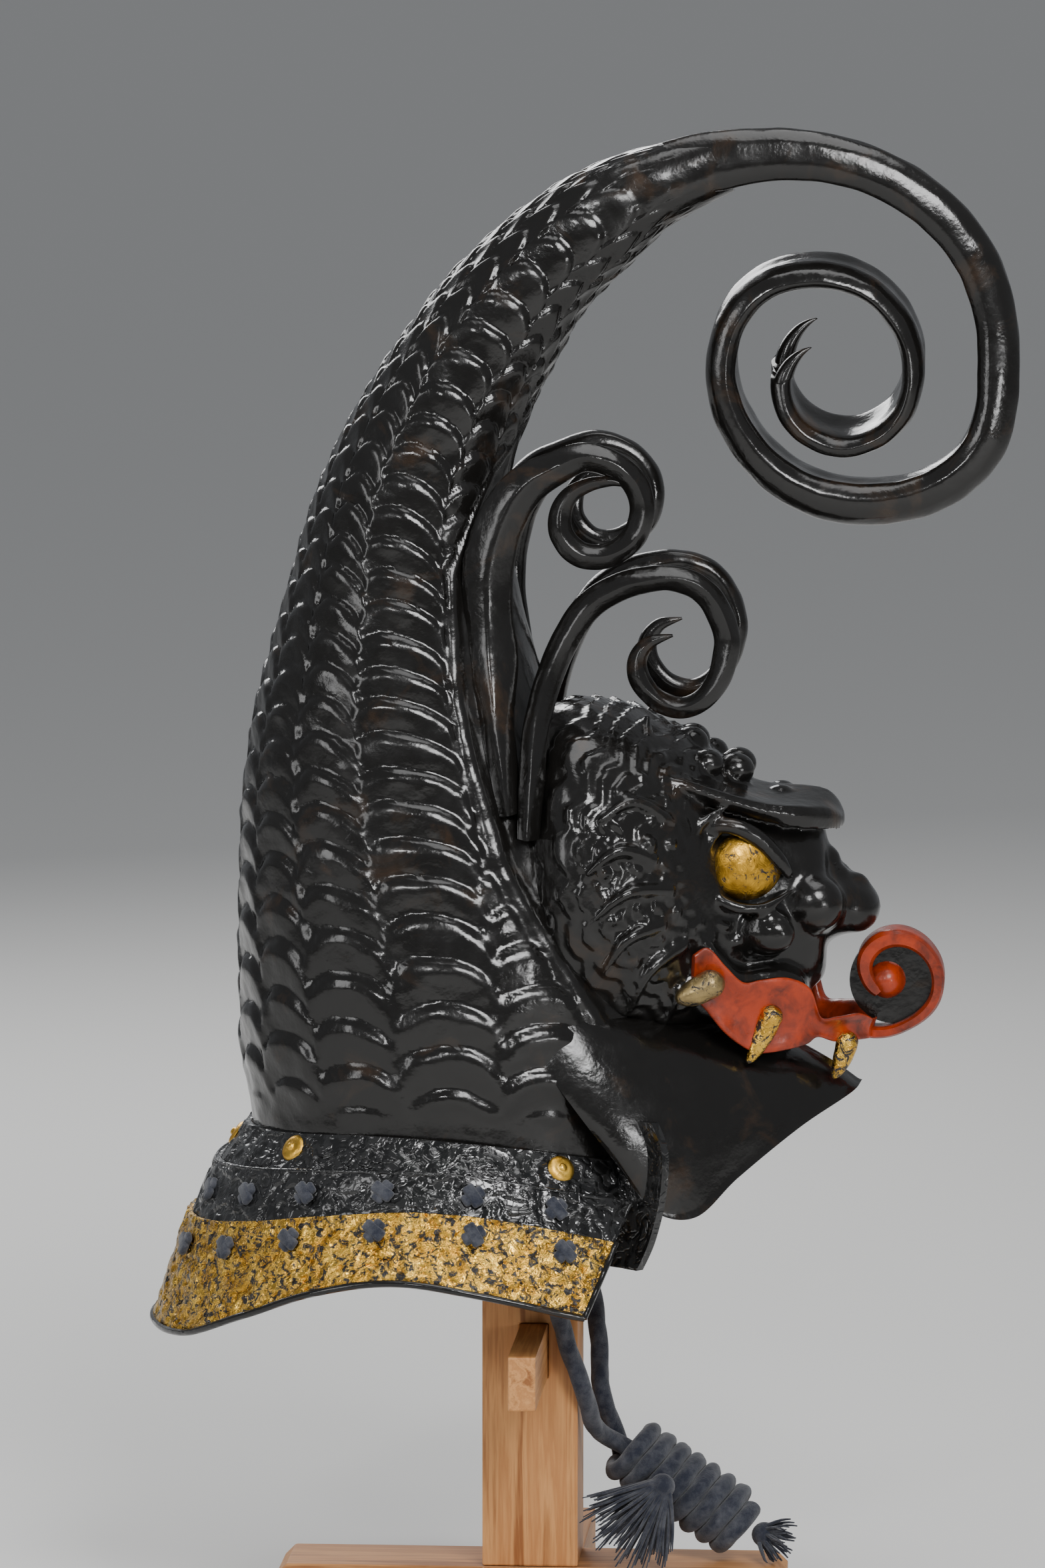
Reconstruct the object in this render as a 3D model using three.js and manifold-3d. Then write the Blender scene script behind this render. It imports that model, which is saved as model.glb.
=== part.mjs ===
// Kabuto helmet in the form of a scaled dragon fish, on its plain wooden stand.
// Millimetres, +Z up, +X the way the face looks, +Y the wearer's left.
// The origin is on the underside of the base, on the axis of the post.
import * as THREE from 'three';
import { mergeVertices } from 'three/addons/utils/BufferGeometryUtils.js';
import Module from 'manifold-3d';

const wasm = await Module();
wasm.setup();

// Fits
const GAP = 0.3;              // clearance between pieces that touch

// Stand
const BOARD = 46;             // width of the post and of the base boards
const BASE_LENGTH = 246;      // length of each base board
const BASE_HEIGHT = 30;       // thickness of the base boards
const BASE_CHAMFER = 5;       // bevel on the upper ends of the base boards
const PEG_WIDTH = 13;
const PEG_HEIGHT = 26;
const PEG_LENGTH = 218;       // from end to end, through the post
const PEG_Z = 136;            // height of the peg's axis
const PEG_X = 2;              // the peg sits a little before the middle of the post

// Bowl and body
const RIM_Z = 236;            // underside of the bowl
const BODY_RISE = 486;        // from the rim to the top of the arch
const BODY_BACK_X = -140;     // rearmost point of the body
const BODY_REACH = 250;       // from the rearmost point to the furthest share of the table
const BODY_HALF_WIDTH = 97;
const BOWL_SIDES = 32;        // facets round the body, two for each column of scales
const SCALE_COLUMNS = 16;
const SCALE_ROWS = 30;
const SCALE_SHRINK = 0.966;   // each row is this much shorter than the row below it
const SCALE_RELIEF = 3.2;     // height of a scale's free edge on the bowl
const PLAIN_BAND = 18;        // smooth band under the lowest row
const ROW_STEPS = 2;          // rings for each row of scales
const WALL = 7;               // wall of the bowl
const CAVITY_TOP_Z = 388;     // the crown inside, which rests on the post

// Tail
const CURL_X = 146;           // centre of the tail's spiral
const CURL_Z = 607;
const CURL_RADIUS = 75;       // centre of the spiral to the middle of its outer turn
const CURL_THICK = 22;        // thickness of the outer turn, across the spiral's radius
const CURL_WIDE = 38;         // width of the ribbon, side to side
const CURL_SLANT = 15;        // rise of the far edge above the near edge at the tip

// Horns
const REAR_HORN_WIDTH = 25;   // width of the flat stem
const REAR_HORN_DEPTH = 17;
const REAR_HORN_HEIGHT = 168; // root to the top of its arch
const FRONT_HORN_WIDTH = 13;
const FRONT_HORN_DEPTH = 15;
const FRONT_HORN_HEIGHT = 122;
const HORN_SPREAD = 44;       // mid-plane to the horns' scrolls

// Head
const HEAD_HALF_WIDTH = 84;
const HEAD_HEIGHT = 150;      // underside of the jaw to the top of the brow's root
const HEAD_LENGTH = 148;      // from inside the bowl to the brow's front
const HEAD_BACK_X = -5;
const HEAD_BOTTOM_Z = 288;
const NOSE_RADIUS = 14;
const NOSTRIL_RADIUS = 14;
const CHEEK_RADIUS = 13;
const BROW_THICK = 8;
const JAW_END = 0.97;         // where the jaw's rim stops, as a share of the head's length
const JAW_RISE = 0.035;       // the jaw's rim above the lip's lower edge, as a share of the height
const EYE_LENGTH = 32;
const EYE_HEIGHT = 30;
const EYE_DEPTH = 16;

// Mouth and fangs
const LIP_THICK = 6;
const LIP_FLARE = 5;          // how far the lip's upper edge leans out
const FANG_LENGTH = 24;
const FANG_RADIUS = 6.2;
const SCROLL_RADIUS = 22;     // the scroll at the front of the mouth
const SCROLL_THICK = 4.5;
const SCROLL_WIDE = 26;
const SCROLL_BALL = 9.4;

// Visor
const VISOR_THICK = 4;
const VISOR_REACH = 158;      // x of the visor's tip
const VISOR_HALF_WIDTH = 84;
const VISOR_DROP = 96;        // from the visor's root to its lowest lobes
const VISOR_TUCK = 16;        // how far the visor's root reaches up behind the jaw
const VISOR_ROOT_REACH = 62;  // the root's half length, ahead of its centre
const VISOR_ROOT_X = 6;
const VISOR_BELLY = 7;        // how far the shell bulges between its root and its edge

// Neck guard
const PLATE_THICK = 2.6;
const PLATE_STEP = 3.4;       // each lower plate stands out this much from the one above
const PLATE_CENTRE_X = -30;
const GUARD_LENGTH = 106;     // half length of the guard's top edge
const GUARD_HALF_WIDTH = 100; // half width of the guard's top edge
const GUARD_FLARE = 39;       // how much further the lowest edge reaches
const GUARD_TOP_Z = 251;
const GUARD_DROP = 102;       // from the top edge to the lowest point of the guard
const FLANGE_WIDTH = 16;      // turned front flange of the top plate
const FLANGE_HEIGHT = 70;
const FLANGE_X = 62;          // foremost point of the flange
const RIVET_RADIUS = 6.7;
const RIVET_HEIGHT = 3.4;
const LACE_SIZE = 9;
const LACE_THICK = 2.4;

// Chin cord
const CORD_DIAMETER = 9;
const HANK_DIAMETER = 38;
const HANK_LENGTH = 84;

const FULL_TURN = Math.PI * 2;

const LACQUER = { color: 0x0a0a0b, roughness: 0.22, metalness: 0.0 };
const WRINKLED = { color: 0x0d0d0e, roughness: 0.35, metalness: 0.0 };
const GILT = { color: 0xb8862b, roughness: 0.38, metalness: 1.0 };
const BONE_GILT = { color: 0xc09a45, roughness: 0.45, metalness: 0.8 };
const RED = { color: 0x8e2410, roughness: 0.4, metalness: 0.0 };
const NAVY = { color: 0x1d2436, roughness: 0.9, metalness: 0.0 };
const PINE = { color: 0xb0723a, roughness: 0.6, metalness: 0.0 };

const helmet = new THREE.Group();
helmet.name = 'helmet_on_stand';

// Linear and smooth reading of a short table
function mix(a, b, t) {
  return a + (b - a) * t;
}

function smoothRead(rows, column, position) {
  const last = rows.length - 1;
  const p = Math.min(Math.max(position, 0), last);
  const i = Math.min(Math.floor(p), last - 1);
  const t = p - i;
  const at = (k) => rows[Math.min(Math.max(k, 0), last)][column];
  const [a, b, c, d] = [at(i - 1), at(i), at(i + 1), at(i + 2)];
  const bend = (2 * a - 5 * b + 4 * c - d) * t * t + (3 * b - a - 3 * c + d) * t * t * t;
  return 0.5 * (2 * b + (c - a) * t + bend);
}

function readAt(rows, key, column, value) {
  let i = 0;
  while (i < rows.length - 2 && rows[i + 1][key] < value) i += 1;
  const span = rows[i + 1][key] - rows[i][key];
  return smoothRead(rows, column, i + (value - rows[i][key]) / span);
}

// A closed solid through rings of points, with a fan over each end
function loft(rings) {
  const count = rings[0].length;
  const positions = [];
  const faces = [];
  for (const ring of rings) for (const p of ring) positions.push(p.x, p.y, p.z);
  for (let r = 0; r < rings.length - 1; r += 1) {
    for (let k = 0; k < count; k += 1) {
      const a = r * count + k;
      const b = r * count + ((k + 1) % count);
      faces.push(a, b, b + count, a, b + count, a + count);
    }
  }
  for (const [ring, base, turned] of [
    [rings[0], 0, true],
    [rings[rings.length - 1], (rings.length - 1) * count, false],
  ]) {
    const middle = new THREE.Vector3();
    for (const p of ring) middle.add(p);
    middle.divideScalar(count);
    const tip = positions.length / 3;
    positions.push(middle.x, middle.y, middle.z);
    for (let k = 0; k < count; k += 1) {
      const a = base + k;
      const b = base + ((k + 1) % count);
      if (turned) faces.push(tip, b, a);
      else faces.push(tip, a, b);
    }
  }
  return facingOut(positions, faces);
}

function facingOut(positions, faces) {
  let volume = 0;
  const at = (i) => new THREE.Vector3(positions[3 * i], positions[3 * i + 1], positions[3 * i + 2]);
  for (let f = 0; f < faces.length; f += 3) {
    volume += at(faces[f]).dot(at(faces[f + 1]).cross(at(faces[f + 2])));
  }
  const index = volume > 0 ? faces : faces.slice().reverse();
  const geometry = new THREE.BufferGeometry();
  geometry.setAttribute('position', new THREE.Float32BufferAttribute(positions, 3));
  geometry.setIndex(index);
  return geometry;
}

// Booleans
function toSolid(source) {
  let geometry = source.clone();
  geometry.deleteAttribute('normal');
  geometry.deleteAttribute('uv');
  geometry = mergeVertices(geometry, 1e-4);
  return new wasm.Manifold(new wasm.Mesh({
    numProp: 3,
    vertProperties: new Float32Array(geometry.attributes.position.array),
    triVerts: new Uint32Array(geometry.index.array),
  }));
}

function toGeometry(solid) {
  const mesh = solid.getMesh();
  const geometry = new THREE.BufferGeometry();
  const positions = [];
  for (let i = 0; i < mesh.vertProperties.length; i += mesh.numProp) {
    positions.push(...mesh.vertProperties.slice(i, i + 3));
  }
  geometry.setAttribute('position', new THREE.Float32BufferAttribute(positions, 3));
  geometry.setIndex([...mesh.triVerts]);
  return geometry;
}

function joined(geometries) {
  return geometries.map(toSolid).reduce((a, b) => a.add(b));
}

function largestBody(solid) {
  const bodies = solid.decompose();
  return bodies.reduce((a, b) => (a.volume() > b.volume() ? a : b));
}

function add(name, geometry, finish) {
  const shape = geometry.index ? geometry : mergeVertices(geometry);
  const mesh = new THREE.Mesh(shape, new THREE.MeshStandardMaterial(finish));
  mesh.name = name;
  helmet.add(mesh);
  return mesh;
}

function addSolid(name, solid, finish) {
  return add(name, toGeometry(solid), finish);
}

function box(x0, x1, y0, y1, z0, z1) {
  const geometry = new THREE.BoxGeometry(x1 - x0, y1 - y0, z1 - z0);
  geometry.translate((x0 + x1) / 2, (y0 + y1) / 2, (z0 + z1) / 2);
  return geometry;
}

function ball(x, y, z, rx, ry, rz, around = 10, rings = 7) {
  const geometry = new THREE.SphereGeometry(1, around, rings);
  geometry.rotateX(Math.PI / 2);
  geometry.scale(rx, ry, rz);
  geometry.translate(x, y, z);
  return geometry;
}

// Body: each row gives the back point, the front point and the half width of a section.
// Lengths along x are shares of BODY_REACH, heights of BODY_RISE, widths of BODY_HALF_WIDTH.
const BODY_SECTIONS = [
  { backX: 0.024, backZ: 0.0, frontX: 0.848, frontZ: 0.0, half: 1.0 },
  { backX: 0.004, backZ: 0.09, frontX: 0.86, frontZ: 0.086, half: 0.99 },
  { backX: 0.0, backZ: 0.183, frontX: 0.832, frontZ: 0.169, half: 0.945 },
  { backX: 0.002, backZ: 0.272, frontX: 0.772, frontZ: 0.239, half: 0.87 },
  { backX: 0.008, backZ: 0.35, frontX: 0.712, frontZ: 0.307, half: 0.785 },
  { backX: 0.033, backZ: 0.428, frontX: 0.652, frontZ: 0.368, half: 0.7 },
  { backX: 0.064, backZ: 0.492, frontX: 0.6, frontZ: 0.43, half: 0.63 },
  { backX: 0.1, backZ: 0.558, frontX: 0.56, frontZ: 0.492, half: 0.56 },
  { backX: 0.148, backZ: 0.64, frontX: 0.524, frontZ: 0.57, half: 0.485 },
  { backX: 0.208, backZ: 0.708, frontX: 0.512, frontZ: 0.638, half: 0.425 },
  { backX: 0.296, backZ: 0.781, frontX: 0.548, frontZ: 0.718, half: 0.37 },
  { backX: 0.396, backZ: 0.85, frontX: 0.604, frontZ: 0.778, half: 0.32 },
  { backX: 0.5, backZ: 0.901, frontX: 0.664, frontZ: 0.829, half: 0.28 },
  { backX: 0.612, backZ: 0.944, frontX: 0.748, frontZ: 0.87, half: 0.245 },
  { backX: 0.728, backZ: 0.973, frontX: 0.824, frontZ: 0.905, half: 0.205 },
  { backX: 0.88, backZ: 0.997, frontX: 0.912, frontZ: 0.928, half: 0.165 },
];

function bodyFrame(position) {
  const read = (column) => smoothRead(BODY_SECTIONS, column, position);
  const back = new THREE.Vector3(
    BODY_BACK_X + read('backX') * BODY_REACH, 0, RIM_Z + read('backZ') * BODY_RISE);
  const front = new THREE.Vector3(
    BODY_BACK_X + read('frontX') * BODY_REACH, 0, RIM_Z + read('frontZ') * BODY_RISE);
  return { back, front, half: read('half') * BODY_HALF_WIDTH };
}

// A point of the body's skin: turn 0 is the front, half a turn is the back
function bodyPoint(frame, turn, raise) {
  const middle = frame.back.clone().add(frame.front).multiplyScalar(0.5);
  const along = frame.front.clone().sub(frame.back);
  const semi = along.length() / 2;
  along.normalize();
  const c = Math.cos(turn);
  const s = Math.sin(turn);
  const squareness = 0.94;
  const cx = Math.sign(c) * Math.abs(c) ** squareness;
  const sy = Math.sign(s) * Math.abs(s) ** squareness;
  const point = middle.addScaledVector(along, cx * (semi + raise));
  point.y = -sy * (frame.half + raise);
  return point;
}

// Positions of the rings along the body, by the length of its middle line
const LINE_STEPS = 240;
const bodyLine = [];
{
  let travelled = 0;
  let previous = null;
  for (let i = 0; i <= LINE_STEPS; i += 1) {
    const position = (i / LINE_STEPS) * (BODY_SECTIONS.length - 1);
    const frame = bodyFrame(position);
    const middle = frame.back.add(frame.front).multiplyScalar(0.5);
    if (previous) travelled += middle.distanceTo(previous);
    previous = middle;
    bodyLine.push({ position, travelled });
  }
}
const BODY_LINE_LENGTH = bodyLine[LINE_STEPS].travelled;

function positionAt(length) {
  return readLinear(bodyLine, 'travelled', 'position', length);
}

function readLinear(rows, key, column, value) {
  let i = 0;
  while (i < rows.length - 2 && rows[i + 1][key] < value) i += 1;
  const t = (value - rows[i][key]) / (rows[i + 1][key] - rows[i][key]);
  return mix(rows[i][column], rows[i + 1][column], t);
}

// Length of the lowest row: the rows shrink up the body, and the last ends where the tail begins
const ROWS_SUM = (1 - SCALE_SHRINK ** SCALE_ROWS) / (1 - SCALE_SHRINK);
const ROW_UNIT = (BODY_LINE_LENGTH - PLAIN_BAND) / ROWS_SUM;

function rowStart(row) {
  return PLAIN_BAND + ROW_UNIT * (1 - SCALE_SHRINK ** row) / (1 - SCALE_SHRINK);
}

// Height of the relief, 0 to 1, at a column and row: free edges are arcs that point up
function scaleHeight(column, row) {
  let nearest = 1;
  for (const c of [Math.floor(column), Math.floor(column) + 1]) {
    const off = Math.abs(column - c);
    if (off >= 0.72) continue;
    const stagger = c % 2 === 0 ? 0 : 0.5;
    const arc = 0.5 * Math.sqrt(1 - (off / 0.72) ** 2);
    const edge = arc + stagger;
    const below = row - edge;
    const depth = Math.ceil(below) - below;
    nearest = Math.min(nearest, depth);
  }
  return 1 - nearest;
}

function reliefAt(frame) {
  return SCALE_RELIEF * mix(0.45, 1, frame.half / BODY_HALF_WIDTH);
}

function bodyRings() {
  const rings = [];
  const stops = [{ length: 0, row: -1 }];
  for (let i = 0; i <= SCALE_ROWS * ROW_STEPS; i += 1) {
    const row = i / ROW_STEPS;
    stops.push({ length: rowStart(row), row });
  }
  for (const stop of stops) {
    const frame = bodyFrame(positionAt(stop.length));
    const fadeIn = Math.min(1, Math.max(0, stop.row));
    const fadeOut = Math.min(1, (SCALE_ROWS - stop.row) / 3);
    const height = reliefAt(frame) * fadeIn * fadeOut;
    const ring = [];
    for (let k = 0; k < BOWL_SIDES; k += 1) {
      const column = (k / BOWL_SIDES) * SCALE_COLUMNS;
      const bump = height * scaleHeight(column, Math.max(stop.row, 0));
      ring.push(bodyPoint(frame, (k / BOWL_SIDES) * FULL_TURN, bump));
    }
    rings.push(ring);
  }
  return rings;
}

// The head's hollow: an upright dome under a flat crown that sits on the post
const CAVITY_ROWS = [
  { height: -0.08, size: 1.0 },
  { height: 0.3, size: 0.985 },
  { height: 0.55, size: 0.92 },
  { height: 0.75, size: 0.81 },
  { height: 0.9, size: 0.71 },
  { height: 1.0, size: 0.64 },
];

function cavity() {
  const rim = bodyFrame(0);
  const centreX = (rim.back.x + rim.front.x) / 2;
  const semiX = (rim.front.x - rim.back.x) / 2 - WALL;
  const semiY = rim.half - WALL;
  const rings = CAVITY_ROWS.map((row) => {
    const ring = [];
    for (let k = 0; k < BOWL_SIDES; k += 1) {
      const turn = (k / BOWL_SIDES) * Math.PI * 2;
      ring.push(new THREE.Vector3(
        centreX + Math.cos(turn) * semiX * row.size,
        Math.sin(turn) * semiY * row.size,
        RIM_Z + (CAVITY_TOP_Z - RIM_Z) * row.height,
      ));
    }
    return ring;
  });
  return loft(rings);
}

// The space that the body and its raised scales take, which every piece on it is cut clear of
function bodyEnvelope() {
  const rings = [];
  const last = BODY_SECTIONS.length - 1;
  for (let i = 0; i <= last * 2; i += 1) {
    const frame = bodyFrame(i / 2);
    const raise = reliefAt(frame) + 2 * GAP;
    if (i === 0) frame.back.z -= 1;
    if (i === 0) frame.front.z -= 1;
    if (i === last * 2) frame.back.x += GAP;
    if (i === last * 2) frame.front.x += GAP;
    const ring = [];
    for (let k = 0; k < BOWL_SIDES; k += 1) {
      ring.push(bodyPoint(frame, (k / BOWL_SIDES) * FULL_TURN, raise));
    }
    rings.push(ring);
  }
  return toSolid(loft(rings));
}

const bodyShape = toSolid(loft(bodyRings()));
const bodyKeepOut = bodyEnvelope();
addSolid('scaled_body', bodyShape.subtract(toSolid(cavity())), LACQUER);

// Tail: turn is measured clockwise from straight up about the spiral's centre.
// reach is a share of CURL_RADIUS, thick of CURL_THICK, wide of CURL_WIDE, slant of CURL_SLANT.
const CURL_ROWS = [
  { turn: -42, reach: 1.66, thick: 1.5, wide: 0.8, slant: 0.0 },
  { turn: -32, reach: 1.535, thick: 1.5, wide: 0.8, slant: 0.0 },
  { turn: -15, reach: 1.4, thick: 1.24, wide: 0.76, slant: 0.0 },
  { turn: 12, reach: 1.25, thick: 1.1, wide: 0.76, slant: 0.0 },
  { turn: 45, reach: 1.12, thick: 1.05, wide: 0.8, slant: 0.0 },
  { turn: 86, reach: 1.0, thick: 0.98, wide: 0.88, slant: 0.0 },
  { turn: 122, reach: 1.02, thick: 1.0, wide: 0.94, slant: 0.05 },
  { turn: 170, reach: 0.85, thick: 1.02, wide: 1.0, slant: 0.15 },
  { turn: 228, reach: 0.745, thick: 0.84, wide: 1.0, slant: 0.25 },
  { turn: 270, reach: 0.74, thick: 0.72, wide: 1.0, slant: 0.35 },
  { turn: 308, reach: 0.715, thick: 0.68, wide: 1.0, slant: 0.42 },
  { turn: 350, reach: 0.59, thick: 0.62, wide: 1.0, slant: 0.5 },
  { turn: 400, reach: 0.49, thick: 0.55, wide: 0.98, slant: 0.58 },
  { turn: 448, reach: 0.465, thick: 0.52, wide: 0.95, slant: 0.66 },
  { turn: 493, reach: 0.5, thick: 0.52, wide: 0.9, slant: 0.74 },
  { turn: 538, reach: 0.505, thick: 0.54, wide: 0.84, slant: 0.82 },
  { turn: 582, reach: 0.45, thick: 0.54, wide: 0.76, slant: 0.9 },
  { turn: 618, reach: 0.37, thick: 0.5, wide: 0.62, slant: 0.96 },
];
const CURL_STEP_DEGREES = 14;

// The ribbon's section: out is a share of the thickness from its middle line, side of the half width
const CURL_SECTION = [
  { out: 0.5, side: -0.5 },
  { out: 0.28, side: -0.86 },
  { out: -0.12, side: -1.0 },
  { out: -0.42, side: -0.72 },
  { out: -0.36, side: 0.0 },
  { out: -0.42, side: 0.72 },
  { out: -0.12, side: 1.0 },
  { out: 0.28, side: 0.86 },
  { out: 0.5, side: 0.5 },
  { out: 0.4, side: 0.0 },
];

function curlPoint(turn, out, side) {
  const read = (column) => readAt(CURL_ROWS, 'turn', column, turn);
  const angle = THREE.MathUtils.degToRad(turn);
  const reach = read('reach') * CURL_RADIUS + out * read('thick') * CURL_THICK;
  const across = side * read('wide') * CURL_WIDE / 2;
  const rise = (side + 1) / 2 * read('slant') * CURL_SLANT;
  return new THREE.Vector3(
    CURL_X + Math.sin(angle) * reach,
    across,
    CURL_Z + Math.cos(angle) * reach + rise,
  );
}

function tail() {
  const first = CURL_ROWS[0].turn;
  const last = CURL_ROWS[CURL_ROWS.length - 1].turn;
  const steps = Math.round((last - first) / CURL_STEP_DEGREES);
  const rings = [];
  for (let i = 0; i <= steps; i += 1) {
    const turn = mix(first, last, i / steps);
    rings.push(CURL_SECTION.map((p) => curlPoint(turn, p.out, p.side)));
  }
  const ribbon = toSolid(loft(rings));
  const nearTip = forkTip(last, -0.55, 46, 0.2);
  const farTip = forkTip(last, 0.55, 58, 0.3);
  return ribbon.add(nearTip).add(farTip);
}

// One point of the fork: a taper that carries the spiral on past the ribbon's end
function forkTip(start, side, sweep, lift) {
  const rings = [];
  const steps = 5;
  for (let i = 0; i <= steps; i += 1) {
    const t = i / steps;
    const size = mix(1, 0.12, t);
    const turn = start - 6 + sweep * t;
    const angle = THREE.MathUtils.degToRad(turn);
    const reach = CURL_RADIUS * mix(0.375, 0.22 - lift * 0.1, t);
    const rise = (side + 1) / 2 * CURL_SLANT * (1 + lift * t);
    const ring = [];
    for (let k = 0; k < 8; k += 1) {
      const a = (k / 8) * Math.PI * 2;
      const out = reach + Math.cos(a) * CURL_THICK * 0.23 * size;
      ring.push(new THREE.Vector3(
        CURL_X + Math.sin(angle) * out,
        side * CURL_WIDE * 0.31 + Math.sin(a) * CURL_WIDE * 0.13 * size,
        CURL_Z + Math.cos(angle) * out + rise,
      ));
    }
    rings.push(ring);
  }
  return toSolid(loft(rings));
}

const tailClear = largestBody(tail().subtract(bodyKeepOut));
addSolid('tail_curl', tailClear, LACQUER);

// Horns: each row is a station of the ridge line. along and up are shares of the horn's height,
// outer and inner are shares of its width to either side of the ridge.
const REAR_HORN_ROWS = [
  { along: -0.04, up: 0.0, outer: 0.22, inner: 0.24, depth: 1.0 },
  { along: -0.06, up: 0.12, outer: 0.26, inner: 0.3, depth: 1.0 },
  { along: -0.083, up: 0.268, outer: 0.34, inner: 0.36, depth: 1.0 },
  { along: -0.1, up: 0.417, outer: 0.48, inner: 0.52, depth: 1.0 },
  { along: -0.11, up: 0.565, outer: 0.48, inner: 0.48, depth: 1.0 },
  { along: -0.107, up: 0.685, outer: 0.5, inner: 0.48, depth: 0.97 },
  { along: -0.072, up: 0.81, outer: 0.48, inner: 0.44, depth: 0.94 },
  { along: -0.012, up: 0.91, outer: 0.4, inner: 0.42, depth: 0.9 },
  { along: 0.071, up: 0.964, outer: 0.32, inner: 0.35, depth: 0.86 },
  { along: 0.16, up: 1.0, outer: 0.26, inner: 0.3, depth: 0.82 },
  { along: 0.25, up: 0.98, outer: 0.22, inner: 0.3, depth: 0.78 },
  { along: 0.313, up: 0.923, outer: 0.2, inner: 0.3, depth: 0.74 },
  { along: 0.333, up: 0.845, outer: 0.18, inner: 0.3, depth: 0.7 },
  { along: 0.304, up: 0.768, outer: 0.2, inner: 0.28, depth: 0.66 },
  { along: 0.232, up: 0.723, outer: 0.24, inner: 0.24, depth: 0.64 },
  { along: 0.155, up: 0.726, outer: 0.28, inner: 0.22, depth: 0.62 },
  { along: 0.101, up: 0.78, outer: 0.26, inner: 0.22, depth: 0.58 },
  { along: 0.095, up: 0.845, outer: 0.2, inner: 0.22, depth: 0.52 },
  { along: 0.122, up: 0.896, outer: 0.14, inner: 0.2, depth: 0.44 },
  { along: 0.178, up: 0.926, outer: 0.1, inner: 0.17, depth: 0.34 },
  { along: 0.235, up: 0.932, outer: 0.07, inner: 0.12, depth: 0.24 },
  { along: 0.283, up: 0.917, outer: 0.025, inner: 0.03, depth: 0.1 },
];
const FRONT_HORN_ROWS = [
  { along: 0.02, up: 0.0, outer: 0.4, inner: 0.4, depth: 1.0 },
  { along: 0.029, up: 0.213, outer: 0.46, inner: 0.5, depth: 1.0 },
  { along: 0.041, up: 0.418, outer: 0.46, inner: 0.5, depth: 1.0 },
  { along: 0.082, up: 0.598, outer: 0.47, inner: 0.54, depth: 1.0 },
  { along: 0.148, up: 0.754, outer: 0.5, inner: 0.54, depth: 1.0 },
  { along: 0.238, up: 0.885, outer: 0.52, inner: 0.54, depth: 0.98 },
  { along: 0.36, up: 0.959, outer: 0.54, inner: 0.5, depth: 0.95 },
  { along: 0.466, up: 0.989, outer: 0.5, inner: 0.48, depth: 0.92 },
  { along: 0.558, up: 1.0, outer: 0.44, inner: 0.52, depth: 0.9 },
  { along: 0.652, up: 0.981, outer: 0.38, inner: 0.58, depth: 0.88 },
  { along: 0.72, up: 0.932, outer: 0.34, inner: 0.62, depth: 0.86 },
  { along: 0.77, up: 0.852, outer: 0.32, inner: 0.66, depth: 0.84 },
  { along: 0.794, up: 0.762, outer: 0.32, inner: 0.64, depth: 0.82 },
  { along: 0.781, up: 0.683, outer: 0.36, inner: 0.58, depth: 0.8 },
  { along: 0.744, up: 0.6, outer: 0.42, inner: 0.46, depth: 0.78 },
  { along: 0.683, up: 0.531, outer: 0.44, inner: 0.36, depth: 0.76 },
  { along: 0.605, up: 0.497, outer: 0.44, inner: 0.34, depth: 0.74 },
  { along: 0.515, up: 0.522, outer: 0.44, inner: 0.34, depth: 0.7 },
  { along: 0.444, up: 0.598, outer: 0.42, inner: 0.36, depth: 0.62 },
  { along: 0.43, up: 0.677, outer: 0.36, inner: 0.34, depth: 0.52 },
  { along: 0.475, up: 0.746, outer: 0.24, inner: 0.26, depth: 0.36 },
  { along: 0.566, up: 0.774, outer: 0.05, inner: 0.06, depth: 0.1 },
];

// A roof-shaped section: the ridge faces out to the side, the back is flat
const HORN_SECTION = [
  { out: 1.0, side: 0.1 },
  { out: 0.55, side: 0.62 },
  { out: 0.0, side: 1.0 },
  { out: -0.6, side: 0.55 },
  { out: -1.0, side: 0.0 },
  { out: -0.75, side: -0.55 },
  { out: 0.0, side: -0.8 },
  { out: 0.75, side: -0.5 },
];

function horn(rows, size, side, grow) {
  const perRow = 1;
  const steps = (rows.length - 1) * perRow;
  const rings = [];
  const read = (column, p) => smoothRead(rows, column, p);
  for (let i = 0; i <= steps; i += 1) {
    const p = i / perRow;
    const x = size.rootX + read('along', p) * size.height;
    const z = size.rootZ + read('up', p) * size.height;
    const dx = read('along', p + 0.1) - read('along', p - 0.1);
    const dz = read('up', p + 0.1) - read('up', p - 0.1);
    const long = Math.hypot(dx, dz) || 1;
    const settle = Math.min(1, p / 4);
    const y = mix(size.rootSpread, size.spread, settle * settle * (3 - 2 * settle));
    const ring = HORN_SECTION.map((s) => {
      const width = s.out > 0 ? read('outer', p) : read('inner', p);
      const out = s.out * (Math.max(width, 0.02) * size.width + grow);
      const deep = s.side * (Math.max(read('depth', p), 0.06) * size.depth / 2 + grow);
      return new THREE.Vector3(x - (dz / long) * out, side * (y + deep), z + (dx / long) * out);
    });
    rings.push(ring);
  }
  return toSolid(loft(rings));
}

const HEAD_ROOT_Z = HEAD_BOTTOM_Z + HEAD_HEIGHT * 0.75;
const REAR_HORN = {
  height: REAR_HORN_HEIGHT,
  width: REAR_HORN_WIDTH,
  depth: REAR_HORN_DEPTH,
  rootX: 0,
  rootZ: HEAD_ROOT_Z,
  rootSpread: HORN_SPREAD + 20,
  spread: HORN_SPREAD,
};
const FRONT_HORN = {
  height: FRONT_HORN_HEIGHT,
  width: FRONT_HORN_WIDTH,
  depth: FRONT_HORN_DEPTH,
  rootX: 0,
  rootZ: HEAD_ROOT_Z - 11,
  rootSpread: HORN_SPREAD + 26,
  spread: HORN_SPREAD,
};

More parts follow.
